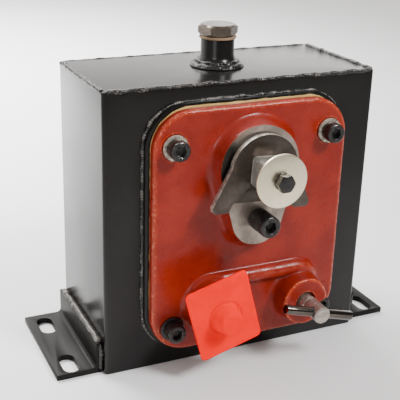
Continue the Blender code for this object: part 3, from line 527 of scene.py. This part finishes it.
TANK_LOW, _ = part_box("tank_front_plate")
_, TANK_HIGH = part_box("tank_back_plate")
PLATE = 4 * MM
CORNER_RADIUS = 3.5 * MM
EDGE_RADIUS = 1.2 * MM
SCREW_HOLE_RADIUS = 5.4 * MM
NECK_BORE_RADIUS = 10 * MM
PLATES = ("tank_front_plate", "tank_back_plate", "tank_left_plate", "tank_right_plate",
          "tank_top_plate", "tank_floor_plate")
OPENING = rounded_rectangle(58.5 * MM, 104 * MM, 203 * MM, 8 * MM)
SCREWS = {name: (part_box("cover_screw_" + name)[0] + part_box("cover_screw_" + name)[1]) / 2
          for name in ("upper_left", "upper_right", "lower_left", "lower_right")}


def front_openings(near, far):
    """Cutter for the opening behind the pump body and the four screw holes around it."""
    bm = slab([(ahead(near), OPENING), (ahead(far), OPENING)])
    for centre in SCREWS.values():
        lathe([(SCREW_HOLE_RADIUS, ahead(near)), (SCREW_HOLE_RADIUS, ahead(far))], "Y",
              (centre.x, centre.z), 24, bm=bm)
    return bm


def make_tank():
    """Folded wrapper with rounded vertical corners; the top is welded in along its edges."""
    shell = bmesh.new()
    block(TANK_LOW, TANK_HIGH, shell)
    upright = [e for e in shell.edges if abs(e.verts[0].co.z - e.verts[1].co.z) > 0.1]
    bmesh.ops.bevel(shell, geom=upright, offset=CORNER_RADIUS, segments=6, profile=0.5, affect="EDGES")
    level = [e for e in shell.edges if e.calc_face_angle(0.0) > 1.0]
    bmesh.ops.bevel(shell, geom=level, offset=EDGE_RADIUS, segments=3, profile=0.5, affect="EDGES")
    tank = make("tank_shell", shell, BLACK)
    wall = Vector((PLATE, PLATE, PLATE))
    cut(tank, block(TANK_LOW + wall, TANK_HIGH - wall))
    openings = front_openings(9, -9)
    reach = 9 * MM
    lathe([(NECK_BORE_RADIUS, TANK_HIGH.z - reach), (NECK_BORE_RADIUS, TANK_HIGH.z + reach)], "Z", (0, 0), 32,
          bm=openings)
    cut(tank, openings)
    tank.data.set_sharp_from_angle(angle=math.radians(35))
    settle(tank, "tank", "black_paint", *PLATES)

    left, right = TANK_LOW.x, TANK_HIGH.x
    front, back, top = TANK_LOW.y, TANK_HIGH.y, TANK_HIGH.z
    inset = 1.1 * MM
    z = top - inset * 0.6
    runs = {
        "front": [(left + 3 * MM, front + inset, z), (right - 3 * MM, front + inset, z)],
        "left": [(left + inset, front + 3 * MM, z), (left + inset, back - 3 * MM, z)],
        "right": [(right - inset, front + 3 * MM, z), (right - inset, back - 3 * MM, z)],
        "back": [(left + 3 * MM, back - 2 * MM, z), (right - 3 * MM, back - 2 * MM, z)],
    }
    for seed, (side, run) in enumerate(runs.items()):
        width = 1.5 * MM if side == "back" else 2.5 * MM
        weld("top_weld_" + side, bead(run, width, seed * 7.0, pitch=3 * MM, wander=0.4), WELD)
    for seed, (side, x) in enumerate((("left", left), ("right", right))):
        inward = 1.0 if side == "left" else -1.0
        z = 1.3 * MM
        run = [(x + inward * 3.2 * MM, front + 3 * MM, z), (x + inward * 3.2 * MM, back - 3 * MM, z)]
        weld("floor_weld_" + side, bead(run, 1.2 * MM, 40 + seed, wander=0.1), WELD)


FOOT_TIP = 159 * MM
FOOT_THICKNESS, FOOT_BEND = 5 * MM, 3.5 * MM
FOOT_SLOT_X, FOOT_SLOT_Y = 144.6 * MM, 34 * MM
FOOT_SLOT_RADIUS, FOOT_SLOT_STRAIGHT = 6.75 * MM, 14.5 * MM


def make_foot(side):
    """Bent angle with two slots, welded along the top of its upright leg and at its front end."""
    name = "foot_left" if side < 0 else "foot_right"
    low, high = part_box(name)
    wall, thick, bend = TANK_HIGH.x + GAP, FOOT_THICKNESS, FOOT_BEND
    outline = [(wall, 0.0), (FOOT_TIP, 0.0), (FOOT_TIP, thick)]
    outline += arc((wall + thick + bend, thick + bend), bend, 270, 180, 8)
    outline += [(wall + thick, high.z), (wall, high.z)]
    outline = [(side * x, z) for x, z in outline]
    angle = soften(slab([(low.y, outline), (high.y, outline)]), 0.7 * MM, 2, 50)
    foot = make(name + "_angle", angle, FOOT_BLACK)
    slot_x, half = side * FOOT_SLOT_X, FOOT_SLOT_STRAIGHT / 2
    for slot_y in (-FOOT_SLOT_Y, FOOT_SLOT_Y):
        ends = arc((slot_x, slot_y + half), FOOT_SLOT_RADIUS, 0, 180, 16)
        ends += arc((slot_x, slot_y - half), FOOT_SLOT_RADIUS, 180, 360, 16)
        cut(foot, skin([[Vector((x, y, z)) for x, y in ends] for z in (-5 * MM, 12 * MM)]))
    bevel = foot.modifiers.new("bevel", "BEVEL")
    bevel.width, bevel.segments, bevel.limit_method, bevel.angle_limit = 0.5 * MM, 2, "ANGLE", 0.9
    apply_all(foot)
    foot.data.set_sharp_from_angle(angle=math.radians(50))
    settle(foot, "tank", "black_paint", name)
    x = side * (wall + 1.6 * MM)
    run = [(x, low.y + 1.5 * MM, high.z + 0.4 * MM), (x, high.y - 4 * MM, high.z + 0.4 * MM)]
    weld(name + "_top_weld", bead(run, 3.3 * MM, 60 + side, pitch=2.6 * MM, wander=0.3), FOOT_WELD)
    run = [(x, low.y - 0.2 * MM, 3 * MM), (x, low.y - 0.2 * MM, high.z - 1 * MM)]
    weld(name + "_end_weld", bead(run, 2.2 * MM, 70 + side), WELD)


def make_neck():
    """Turned filler neck with an uneven weld collar."""
    base, top = TANK_HIGH.z + GAP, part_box("filler_neck")[1].z
    profile = [(10 * MM, base), (18 * MM, base), (17.5 * MM, base + 3 * MM), (15.2 * MM, base + 6 * MM),
               (14 * MM, base + 9 * MM), (14 * MM, top - 1.2 * MM), (13.7 * MM, top - 0.4 * MM),
               (13 * MM, top), (10.6 * MM, top), (10 * MM, top - 0.6 * MM)]
    neck = make("filler_neck_tube", lathe(profile, "Z", (0, 0), 72, closed=True), BLACK)
    settle(neck, "tank", "black_paint", "filler_neck")
    collar = bmesh.new()
    for seed, (radius, height, width) in enumerate(((19.6, 1.3, 2.5), (16.8, 4.0, 2.3), (21.4, 0.3, 1.6))):
        circle = [(radius * MM * math.cos(t), radius * MM * math.sin(t), base + height * MM)
                  for t in (2 * math.pi * k / 48 for k in range(48))]
        bead(circle, width * MM, 80 + seed * 3, closed=True, wander=0.35, bm=collar)
    ring = make("filler_neck_weld", collar, WELD, sharp=60)
    melt(ring, 0.5 * MM, 2)
    ring.data.shade_smooth()
    cut(ring, block((-0.03, -0.03, base - 6 * MM), (0.03, 0.03, base - 0.1 * MM)))
    settle(ring, "tank", "black_paint")


def make_filler_plug():
    """Hexagon plug on its sealing ring."""
    low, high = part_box("filler_washer")
    centre = (0, 0)
    washer = [(10 * MM, low.z), (15.2 * MM, low.z), (15.5 * MM, low.z + 0.4 * MM),
              (15.5 * MM, high.z - 0.4 * MM), (15.2 * MM, high.z), (10 * MM, high.z)]
    ring = make("filler_seal_ring", lathe(washer, "Z", centre, closed=True), FIBRE)
    settle(ring, "filler_seal", "sealing_fibre", "filler_washer")
    head, top, flats = high.z + GAP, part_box("filler_plug")[1].z, 14.5 * MM
    phase = math.radians(13.4)
    profile = [
        (8.6 * MM, head - 12 * MM), (9.7 * MM, head - 11 * MM), (9.7 * MM, head - 1 * MM), (9.4 * MM, head),
        (13.6 * MM, head), (14.0 * MM, head + 0.3 * MM), (14.0 * MM, head + 0.9 * MM),
        {"r": flats, "at": head + 1.0 * MM, "sides": 6, "slope": -0.5},
        {"r": flats, "at": top - 1.0 * MM, "sides": 6, "slope": 0.58},
        (flats - 0.5 * MM, top - 0.25 * MM), (flats - 1.4 * MM, top - 0.02 * MM), (flats - 2 * MM, top),
    ]
    plug = make("filler_hexagon_plug", lathe(profile, "Z", centre, 96, phase=phase), PLUG_STEEL, sharp=28)
    settle(plug, "filler_cap", "zinc", "filler_plug")


def make_pad_and_gasket():
    """Welded pad with hand-cut edges, and the gasket sheet that shows above the casting."""
    def wavy(half, low, high, radius, amount, seed):
        points = rounded_rectangle(half, low, high, radius, 24)
        dense = []
        for (x0, z0), (x1, z1) in zip(points, points[1:] + points[:1]):
            count = max(1, round(math.hypot(x1 - x0, z1 - z0) / (2.5 * MM)))
            dense += [(x0 + (x1 - x0) * k / count, z0 + (z1 - z0) * k / count) for k in range(count)]
        middle = (low + high) / 2
        made = []
        for x, z in dense:
            grow = 1 + amount * noise.noise(Vector((x * 120, z * 120, seed))) / half
            made.append((x * grow, middle + (z - middle) * grow))
        return made
    low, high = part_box("mounting_pad")
    half = high.x
    edge = 0.9 * MM
    levels = [(high.y, wavy(half, low.z, high.z, 34.6 * MM, 0.25 * MM, 1)),
              (low.y + edge, wavy(half, low.z, high.z, 34.6 * MM, 0.25 * MM, 1)),
              (low.y + edge * 0.3, wavy(half - edge * 0.3, low.z + edge * 0.3, high.z - edge * 0.3,
                                        34.3 * MM, 0.25 * MM, 1)),
              (low.y, wavy(half - edge, low.z + edge, high.z - edge, 33.7 * MM, 0.25 * MM, 1))]
    pad = make("mounting_pad_plate", slab(levels), BLACK)
    gasket_low, gasket_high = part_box("gasket")
    tucked = 1.8 * MM
    outline = wavy(gasket_high.x - tucked, gasket_low.z + tucked, gasket_high.z, 32.8 * MM, 0.5 * MM, 3)
    sheet = make("gasket_sheet_cut", slab([(gasket_high.y, outline), (gasket_low.y, outline)]), GASKET)
    for piece in (pad, sheet):
        cut(piece, front_openings(20, -9))
        piece.data.set_sharp_from_angle(angle=math.radians(40))
    settle(pad, "tank", "black_paint", "mounting_pad")
    settle(sheet, "tank", "gasket_sheet", "gasket")
    run = [(x, ahead(0.4), z) for x, z in rounded_rectangle(half, low.z, high.z, 34.6 * MM, 20)]
    weld("pad_weld", bead(run, 2.0 * MM, 90, closed=True, wander=0.35), PAD_WELD)


# --- pump body ---------------------------------------------------------------------------

SHAFT = (0.0, 177 * MM)
STOP = (0.0, 134 * MM)
VALVE = (46.5 * MM, 53.5 * MM)
PORT = (-34 * MM, 60 * MM)
FLANGE_BACK, FLANGE_FRONT, BOSS_FACE = 7.6, 16, 28.0
RIDGE_RADIUS = 7.2 * MM


def make_pump_body():
    """Sand casting: rounded everywhere, with a machined boss face, bores and spot faces."""
    shells = bmesh.new()
    back, edge, front = ahead(FLANGE_BACK), 3.0, FLANGE_FRONT
    levels = []
    for inset, distance in ((0, FLANGE_BACK), (0, front - edge), (edge * 0.13, front - edge * 0.5),
                            (edge * 0.5, front - edge * 0.13), (edge, front)):
        levels.append((ahead(distance), rounded_rectangle((85.5 - inset) * MM, (20 + inset) * MM,
                                                          (225 - inset) * MM, (32 - inset) * MM, 20)))
    slab(levels, shells)
    rocker = []
    for growth, distance in ((8.5, 15), (6.5, 16.4), (4.6, 18), (3.4, 20.5), (0.6, BOSS_FACE - 1),
                             (0, BOSS_FACE + 4)):
        rocker.append((ahead(distance), egg(SHAFT, (34 + growth) * MM, STOP, (22 + growth) * MM)))
    slab(rocker, shells)
    for centre, radius, end in ((VALVE, 20.5, 35.5), (PORT, 22.0, 41.0)):
        boss = [((radius + 5.5) * MM, ahead(15)), ((radius + 3) * MM, ahead(17.2)),
                ((radius + 1.4) * MM, ahead(20)), (radius * MM, ahead(end))]
        lathe(boss, "Y", centre, 72, bm=shells)
    ridge = arc(PORT, 18.5 * MM, 195, 90, 14) + arc((VALVE[0] - 4 * MM, VALVE[1]), 25 * MM, 90, 15, 14)
    tube([(x, ahead(15.5), z) for x, z in ridge], RIDGE_RADIUS, 2.5 * MM, shells)
    lathe([(22.9 * MM, back - 1 * MM), (22.9 * MM, ahead(-8))], "Y", SHAFT, 64, bm=shells)
    for side in (-1, 1):
        xs = sorted((side * 24.5 * MM, side * 36.5 * MM))
        block((xs[0], back - 1 * MM, 119 * MM), (xs[1], ahead(-11.7), 171 * MM), shells)
    body = make("pump_body_casting", shells, RED, IRON)
    melt(body, 0.85 * MM, 14)
    roughen(body, (26 * MM, 0.35 * MM), (7 * MM, 0.14 * MM))

    cut(body, block((-0.06, ahead(60), 0.09), (0.06, ahead(BOSS_FACE), 0.23)))
    bores = bmesh.new()
    lathe([(18.2 * MM, ahead(80)), (18.2 * MM, ahead(-40))], "Y", SHAFT, 72, bm=bores)
    lathe([(6.4 * MM, ahead(80)), (6.4 * MM, ahead(11))], "Y", STOP, 32, bm=bores)
    for centre in SCREWS.values():
        spot_face = [(11.2 * MM, ahead(80)), (11.2 * MM, ahead(15.7)), (5.6 * MM, ahead(15.7)),
                     (5.6 * MM, ahead(0))]
        lathe(spot_face, "Y", (centre.x, centre.z), 48, bm=bores)
    lathe([(9 * MM, ahead(80)), (9 * MM, ahead(14))], "Y", PORT, 48, bm=bores)
    lathe([(9.5 * MM, ahead(80)), (9.5 * MM, ahead(30.5)), (7.5 * MM, ahead(30.5)), (7.5 * MM, ahead(22)),
           (4.3 * MM, ahead(22)), (4.3 * MM, ahead(12.7))], "Y", VALVE, 48, bm=bores)
    cut(body, bores)
    mesh = body.data
    bare = []
    for polygon in mesh.polygons:
        centre, facing = polygon.center, polygon.normal
        radial = math.hypot(centre.x - SHAFT[0], centre.z - SHAFT[1])
        on_face = abs(centre.y - ahead(BOSS_FACE)) < 0.02 * MM and facing.y < -0.99
        bare.append(1 if on_face or (radial < 18.3 * MM and abs(facing.y) < 0.5) else 0)
    mesh.polygons.foreach_set("material_index", bare)
    mesh.shade_smooth()
    mesh.set_sharp_from_angle(angle=math.radians(42))
    settle(body, "tank", "red_paint", "pump_body")


def cap_screw(name, body, centre, under, head_radius, head_height, radius, tip, slot, *nodes, turn=0.0):
    """Socket head cap screw along Y with a knurled head."""
    top = under - head_height
    flats, edge = head_radius * 0.5, head_radius * 0.09
    knurl = 0.16 * MM
    profile = [
        (radius * 0.86, tip), (radius, tip - 0.8 * MM), (radius, under),
        (head_radius * 0.95, under), {"r": head_radius, "at": under - 0.5 * MM, "knurl": knurl},
        {"r": head_radius, "at": top + edge * 2.2, "knurl": knurl}, (head_radius * 0.985, top + edge * 1.6),
        (head_radius * 0.95, top + edge * 0.5), (head_radius * 0.88, top),
        (flats * 1.24, top), {"r": flats, "at": top + 0.5 * MM, "sides": 6},
        {"r": flats, "at": top + head_height * 0.5, "sides": 6}, (flats * 0.3, top + head_height * 0.58),
    ]
    screw = make(name, lathe(profile, "Y", centre, 72, phase=turn), OXIDE, sharp=28)
    return settle(screw, body, slot, *nodes)


def flat_ring(name, inner, outer, back, front, axis_centre, material, edge=0.35 * MM):
    profile = [(inner, back), (outer - edge, back), (outer, back - edge), (outer, front + edge),
               (outer - edge * 0.3, front + edge * 0.3), (outer - edge, front), (inner + edge, front),
               (inner, front + edge)]
    return make(name, lathe(profile, "Y", axis_centre, 72, closed=True), material, sharp=32)


def make_fasteners():
    for turn, (place, middle) in enumerate(SCREWS.items()):
        centre = (middle.x, middle.z)
        low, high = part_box("cover_washer_" + place)
        bright = place.startswith("upper")
        washer = flat_ring("washer_" + place, 5.5 * MM, 10.3 * MM, high.y, low.y, centre,
                           WORN if bright else OXIDE)
        settle(washer, "tank", "black_oxide", "cover_washer_" + place)
        cap_screw("screw_" + place, "tank", centre, low.y - GAP, 8 * MM, 10 * MM, 5 * MM, ahead(-2),
                  "black_oxide", "cover_screw_" + place, turn=0.4 + turn * 0.9)
    low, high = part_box("stop_sleeve")
    sleeve = flat_ring("stop_spacer", 6.4 * MM, 9 * MM, high.y, low.y, STOP, OXIDE, 0.5 * MM)
    settle(sleeve, "tank", "black_oxide", "stop_sleeve")
    cap_screw("stop_cap_screw", "tank", STOP, low.y - GAP, 9 * MM, 12 * MM, 6 * MM, ahead(12),
              "black_oxide", "stop_screw", turn=0.2)


# --- rocker ------------------------------------------------------------------------------

REST_TURN = math.radians(3)
SQUARE_HALF, SEAT_HALF, JOURNAL_RADIUS = 11.75 * MM, 11.95 * MM, 15.5 * MM


def make_rocker():
    """Shaft with its square end, the eared stop plate, and the washers and bolt on the end."""
    flats, seat, journal = SQUARE_HALF, SEAT_HALF, JOURNAL_RADIUS
    end, shoulder = ahead(59.8), ahead(30.5)
    segments = 96
    profile = [
        (4.4 * MM, ahead(35.8)), (4.4 * MM, end + 0.6 * MM), (5.0 * MM, end),
        {"r": flats - 0.9 * MM, "at": end, "sides": 4, "trim": journal - 0.9 * MM},
        {"r": flats - 0.25 * MM, "at": end + 0.25 * MM, "sides": 4, "trim": journal - 0.25 * MM},
        {"r": flats, "at": end + 0.9 * MM, "sides": 4, "trim": journal},
        {"r": flats, "at": ahead(36.5), "sides": 4, "trim": journal},
        {"r": seat, "at": ahead(36.3), "sides": 4, "trim": journal},
        {"r": seat, "at": shoulder, "sides": 4, "trim": journal},
        (journal, shoulder + 0.1 * MM), (journal, ahead(-10)), (11 * MM, ahead(-10)), (11 * MM, ahead(-40)),
    ]
    turned = lathe(profile, "Y", SHAFT, segments, phase=-REST_TURN)
    shaft = make("square_ended_shaft", turned, STEEL, sharp=20)
    settle(shaft, "rocker", "machined_steel", "rocker_shaft")

    ear = arc((38.5, -29.0), 4.5, 35, -75, 12) + [(29.3, -33.2), (25.3, -25.4)]
    shape = arc((0, 0), 29.0, 175, 5, 72) + ear + [(-x, z) for x, z in reversed(ear)]
    cosine, sine = math.cos(REST_TURN), math.sin(REST_TURN)
    outline = [((x * cosine + z * sine) * MM, SHAFT[1] + (z * cosine - x * sine) * MM) for x, z in shape]
    low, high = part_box("stop_plate")
    plate = make("stop_plate_flame_cut", slab([(high.y, outline), (low.y, outline)]), SCALE, CUT_EDGE)
    hole = [{"r": seat + GAP, "at": y, "sides": 4} for y in (high.y + 0.01, low.y - 0.01)]
    cut(plate, lathe(hole, "Y", SHAFT, 96, phase=-REST_TURN))
    bevel = plate.modifiers.new("bevel", "BEVEL")
    bevel.width, bevel.segments, bevel.limit_method, bevel.angle_limit = 0.5 * MM, 2, "ANGLE", 0.7
    apply_all(plate)
    for polygon in plate.data.polygons:
        polygon.material_index = 0 if abs(polygon.normal.y) > 0.8 else 1
    plate.data.shade_smooth()
    plate.data.set_sharp_from_angle(angle=math.radians(35))
    settle(plate, "rocker", "mill_scale_steel", "stop_plate")

    low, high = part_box("lever_washer")
    washer = flat_ring("lever_retaining_washer", 4.5 * MM, 21.5 * MM, high.y, low.y, SHAFT, ZINC, 0.6 * MM)
    settle(washer, "rocker", "zinc", "lever_washer")
    low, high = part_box("lever_lock_washer")
    lock = flat_ring("lever_spring_washer", 4.5 * MM, 7 * MM, high.y, low.y, SHAFT, OXIDE, 0.25 * MM)
    cut(lock, block((-0.4 * MM, low.y - 0.01, SHAFT[1]), (0.4 * MM, high.y + 0.01, SHAFT[1] + 9 * MM)))
    lock.data.set_sharp_from_angle(angle=math.radians(35))
    settle(lock, "rocker", "black_oxide", "lever_lock_washer")
    head, top = low.y - GAP, low.y - GAP - 5.5 * MM
    profile = [
        (3.4 * MM, ahead(37.8)), (4 * MM, ahead(38.6)), (4 * MM, head), (5.7 * MM, head),
        (5.8 * MM, head - 0.2 * MM),
        {"r": 6.5 * MM, "at": head - 0.3 * MM, "sides": 6},
        {"r": 6.5 * MM, "at": top + 0.35 * MM, "sides": 6, "slope": -0.58},
        (6.2 * MM, top + 0.12 * MM), (5.8 * MM, top), (3 * MM, top + 0.15 * MM),
    ]
    bolt = make("lever_hexagon_bolt", lathe(profile, "Y", SHAFT, 72, phase=math.pi / 6), OXIDE, sharp=25)
    settle(bolt, "rocker", "black_oxide", "lever_bolt")


# --- ports -------------------------------------------------------------------------------

def make_release_valve():
    """Grooved spindle with a cross bar through it."""
    radius, end = 7.2 * MM, ahead(62)
    profile = [
        (2.5 * MM, ahead(21.3)), (3.4 * MM, ahead(24)), (radius, ahead(24)), (radius, ahead(42)),
        (radius - 0.5 * MM, ahead(42.3)), (radius - 0.5 * MM, ahead(44.2)), (radius, ahead(44.5)),
        (radius, end + 1.0 * MM), (radius - 0.35 * MM, end + 0.35 * MM), (radius - 1.1 * MM, end),
        (2.0 * MM, end - 0.02 * MM),
    ]
    spindle = make("release_spindle_turned", lathe(profile, "Y", VALVE, 72), TURNED, sharp=28)
    settle(spindle, "release_handle", "machined_steel", "release_spindle")
    tilt = math.radians(16.3)
    half, thick, edge = 33.5 * MM, 3.9 * MM, 0.7 * MM
    centre = (ahead(55.5), VALVE[1])
    profile = [(thick - edge * 1.6, VALVE[0] - half), (thick - edge * 0.4, VALVE[0] - half + edge * 0.4),
               (thick, VALVE[0] - half + edge * 1.4), (thick, VALVE[0] + half - edge * 1.4),
               (thick - edge * 0.4, VALVE[0] + half - edge * 0.4), (thick - edge * 1.6, VALVE[0] + half)]
    bar = lathe(profile, "X", centre, 48)
    pivot = Vector((VALVE[0], centre[0], VALVE[1]))
    bmesh.ops.rotate(bar, cent=pivot, matrix=Matrix.Rotation(tilt, 3, "Y"), verts=bar.verts)
    settle(make("release_cross_bar", bar, BAR, sharp=28), "release_handle", "ground_steel", "release_tbar")
    hole = lathe([(thick + GAP, VALVE[0] - 0.02), (thick + GAP, VALVE[0] + 0.02)], "X", centre, 48)
    bmesh.ops.rotate(hole, cent=pivot, matrix=Matrix.Rotation(tilt, 3, "Y"), verts=hole.verts)
    cut(spindle, hole)
    spindle.data.set_sharp_from_angle(angle=math.radians(28))


def make_port_plug():
    """Soft moulded shipping plug: pull flag, hollow knob and stub."""
    shells = bmesh.new()
    twist = math.radians(15.4)
    cosine, sine = math.cos(twist), math.sin(twist)
    middle = (PORT[0] - 1.2 * MM, PORT[1] + 1.4 * MM)

    def flag(inset):
        points = rounded_rectangle((27.5 - inset) * MM, (-32.3 + inset) * MM, (32.3 - inset) * MM,
                                   (4.2 - inset) * MM, 8)
        return [(middle[0] + x * cosine - z * sine, middle[1] + x * sine + z * cosine) for x, z in points]
    levels = ((42.9, 0.8), (43.3, 0.0), (44.9, 0.0), (45.3, 0.8))
    slab([(ahead(distance), flag(inset)) for distance, inset in levels], shells)
    profile = [(8.2 * MM, ahead(27)), (8.6 * MM, ahead(29)), (8.7 * MM, ahead(41)),
               (12.8 * MM, ahead(41.3)), (13.0 * MM, ahead(43.4)), (15.5 * MM, ahead(44.6)),
               (13.2 * MM, ahead(45.8)), (12.0 * MM, ahead(47.4)), (10.2 * MM, ahead(57.4)),
               (8.6 * MM, ahead(59.0)), (3 * MM, ahead(59.3))]
    lathe(profile, "Y", PORT, 72, bm=shells)
    plug = make("shipping_plug", shells, PLASTIC)
    melt(plug, 0.7 * MM, 5)
    cut(plug, lathe([(6 * MM, ahead(20)), (6 * MM, ahead(54)), (4.5 * MM, ahead(56))], "Y", PORT, 48))
    plug.data.shade_smooth()
    plug.data.set_sharp_from_angle(angle=math.radians(45))
    settle(plug, "shipping_plug", "soft_red_plastic", "port_plug")


# --- springs -----------------------------------------------------------------------------

def make_delivery_spring(side):
    """Coil spring that stands on the ball under its cap."""
    node, joint = "delivery_spring_" + side, "delivery_lift_" + side
    low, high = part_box(node)
    middle, wire, coil_radius = (low + high) / 2, 0.45 * MM, 3.4 * MM
    turns, steps = 4, 32
    rings = []
    for k in range(turns * steps + 1):
        angle = 2 * math.pi * k / steps
        outward = Vector((math.cos(angle), math.sin(angle), 0))
        z = low.z + wire + (high.z - low.z - 2 * wire) * k / (turns * steps)
        centre = Vector((middle.x, middle.y, z)) + outward * coil_radius
        rings.append([centre + outward * wire * math.cos(t) + Vector((0, 0, wire * math.sin(t)))
                      for t in (2 * math.pi * j / 10 for j in range(10))])
    spring = make(node + "_coil", skin(rings), SPRING, sharp=60)
    settle(spring, "delivery_valve_" + side, "spring_steel", node)
    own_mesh(spring)


# --- carried-over CAD nodes --------------------------------------------------------------

KEPT = {
    "shaft_seal": RUBBER, "plunger_seal_left": RUBBER, "plunger_seal_right": RUBBER,
    "shaft_bush_front": BRONZE, "shaft_bush_rear": BRONZE,
    "rocker_arm": STEEL, "arm_clamp_screw": OXIDE, "cylinder_block": STEEL,
    "end_plug_left": STEEL, "end_plug_right": STEEL, "plunger": GROUND,
    "suction_seat_left": STEEL, "suction_seat_right": STEEL, "suction_ball_left": GROUND,
    "suction_ball_right": GROUND, "delivery_ball_left": GROUND, "delivery_ball_right": GROUND,
    "delivery_cap_left": STEEL, "delivery_cap_right": STEEL, "release_ball": GROUND,
    "block_screw_upper_left": OXIDE, "block_screw_upper_right": OXIDE,
    "block_screw_lower_left": OXIDE, "block_screw_lower_right": OXIDE,
}


def dress_kept_nodes():
    for node, material in KEPT.items():
        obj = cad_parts[node]
        for slot in obj.material_slots:
            slot.material = material


# --- studio ------------------------------------------------------------------------------

CAMERA_PLACE = Vector((-0.3240, -0.6580, 0.4066))
CAMERA_VIEW = Vector((0.38985, 0.85145, -0.35079)).normalized()
CAMERA_ROLL = math.radians(1.42)
CAMERA_LENS, SENSOR_WIDTH = 80.1, 36.0
CAMERA_SHIFT = (0.0274, -0.0370)
LIGHTS = (
    # name, place, aimed at, side of the square, watts, spread in degrees
    ("overhead", (-0.35, 1.15, 1.3), (-0.3, 1.05, 0.0), 1.0, 44, 96),
    ("key", (0.70, -1.15, 1.35), (0, -0.05, 0.19), 0.45, 1.4, 27),
    ("fill", (-1.2, -1.3, 0.8), (0, -0.05, 0.12), 0.7, 0.5, 35),
)


def make_studio():
    """Camera, pale floor, surroundings and three soft lights."""
    camera = bpy.data.objects.new("camera", bpy.data.cameras.new("camera"))
    right = CAMERA_VIEW.cross(Vector((0, 0, 1))).normalized()
    up = right.cross(CAMERA_VIEW)
    turned_right = right * math.cos(CAMERA_ROLL) + up * math.sin(CAMERA_ROLL)
    turned_up = up * math.cos(CAMERA_ROLL) - right * math.sin(CAMERA_ROLL)
    axes = Matrix((turned_right, turned_up, -CAMERA_VIEW)).transposed().to_4x4()
    camera.matrix_world = Matrix.Translation(CAMERA_PLACE) @ axes
    camera.data.lens, camera.data.sensor_width = CAMERA_LENS, SENSOR_WIDTH
    camera.data.shift_x, camera.data.shift_y = CAMERA_SHIFT
    bpy.context.scene.collection.objects.link(camera)
    bpy.context.scene.camera = camera

    floor = bmesh.new()
    bmesh.ops.create_grid(floor, x_segments=1, y_segments=1, size=8.0,
                          matrix=Matrix.Translation((0, 0, -0.2 * MM)))
    paper = Look("floor_paper")
    paper.shader.inputs["Specular IOR Level"].default_value = 0.1
    paper.finish((0.86, 0.86, 0.86), 0.9)
    make("floor", floor, paper.material)

    make_surroundings()
    for name, place, aim, size, power, spread in LIGHTS:
        light = bpy.data.lights.new(name, "AREA")
        light.shape, light.size, light.energy = "SQUARE", size, power
        light.spread = math.radians(spread)
        lamp = bpy.data.objects.new(name, light)
        lamp.location = place
        lamp.rotation_euler = (Vector(aim) - Vector(place)).to_track_quat("-Z", "Y").to_euler()
        bpy.context.scene.collection.objects.link(lamp)


def make_surroundings():
    """White studio: bright wall behind and to the left, dim room on the camera's side."""
    world = bpy.data.worlds.new("studio")
    world.use_nodes = True
    tree = world.node_tree
    direction = tree.nodes.new("ShaderNodeTexCoord").outputs["Generated"]
    parts = tree.nodes.new("ShaderNodeSeparateXYZ")
    tree.links.new(direction, parts.inputs[0])

    def ramp(axis, start, end, low, high):
        made = tree.nodes.new("ShaderNodeMapRange")
        made.interpolation_type = "SMOOTHSTEP"
        tree.links.new(parts.outputs[axis], made.inputs["Value"])
        for key, value in (("From Min", start), ("From Max", end), ("To Min", low), ("To Max", high)):
            made.inputs[key].default_value = value
        return made.outputs["Result"]

    def add(first, second):
        made = tree.nodes.new("ShaderNodeMath")
        made.operation = "ADD"
        tree.links.new(first, made.inputs[0])
        tree.links.new(second, made.inputs[1])
        return made.outputs[0]

    back = ramp("Y", 0.1, 0.8, 0.10, 2.8)
    left = ramp("X", -0.3, -0.95, 0.0, 0.5)
    above = ramp("Z", 0.3, 1.0, 0.0, 0.75)
    background = tree.nodes["Background"]
    background.inputs["Color"].default_value = (1.0, 0.972, 0.95, 1.0)
    tree.links.new(add(add(back, left), above), background.inputs["Strength"])
    bpy.context.scene.world = world


make_tank()
make_foot(-1)
make_foot(1)
make_neck()
make_filler_plug()
make_pad_and_gasket()
make_pump_body()
make_fasteners()
make_rocker()
make_release_valve()
make_port_plug()
make_delivery_spring("left")
make_delivery_spring("right")
dress_kept_nodes()
make_studio()
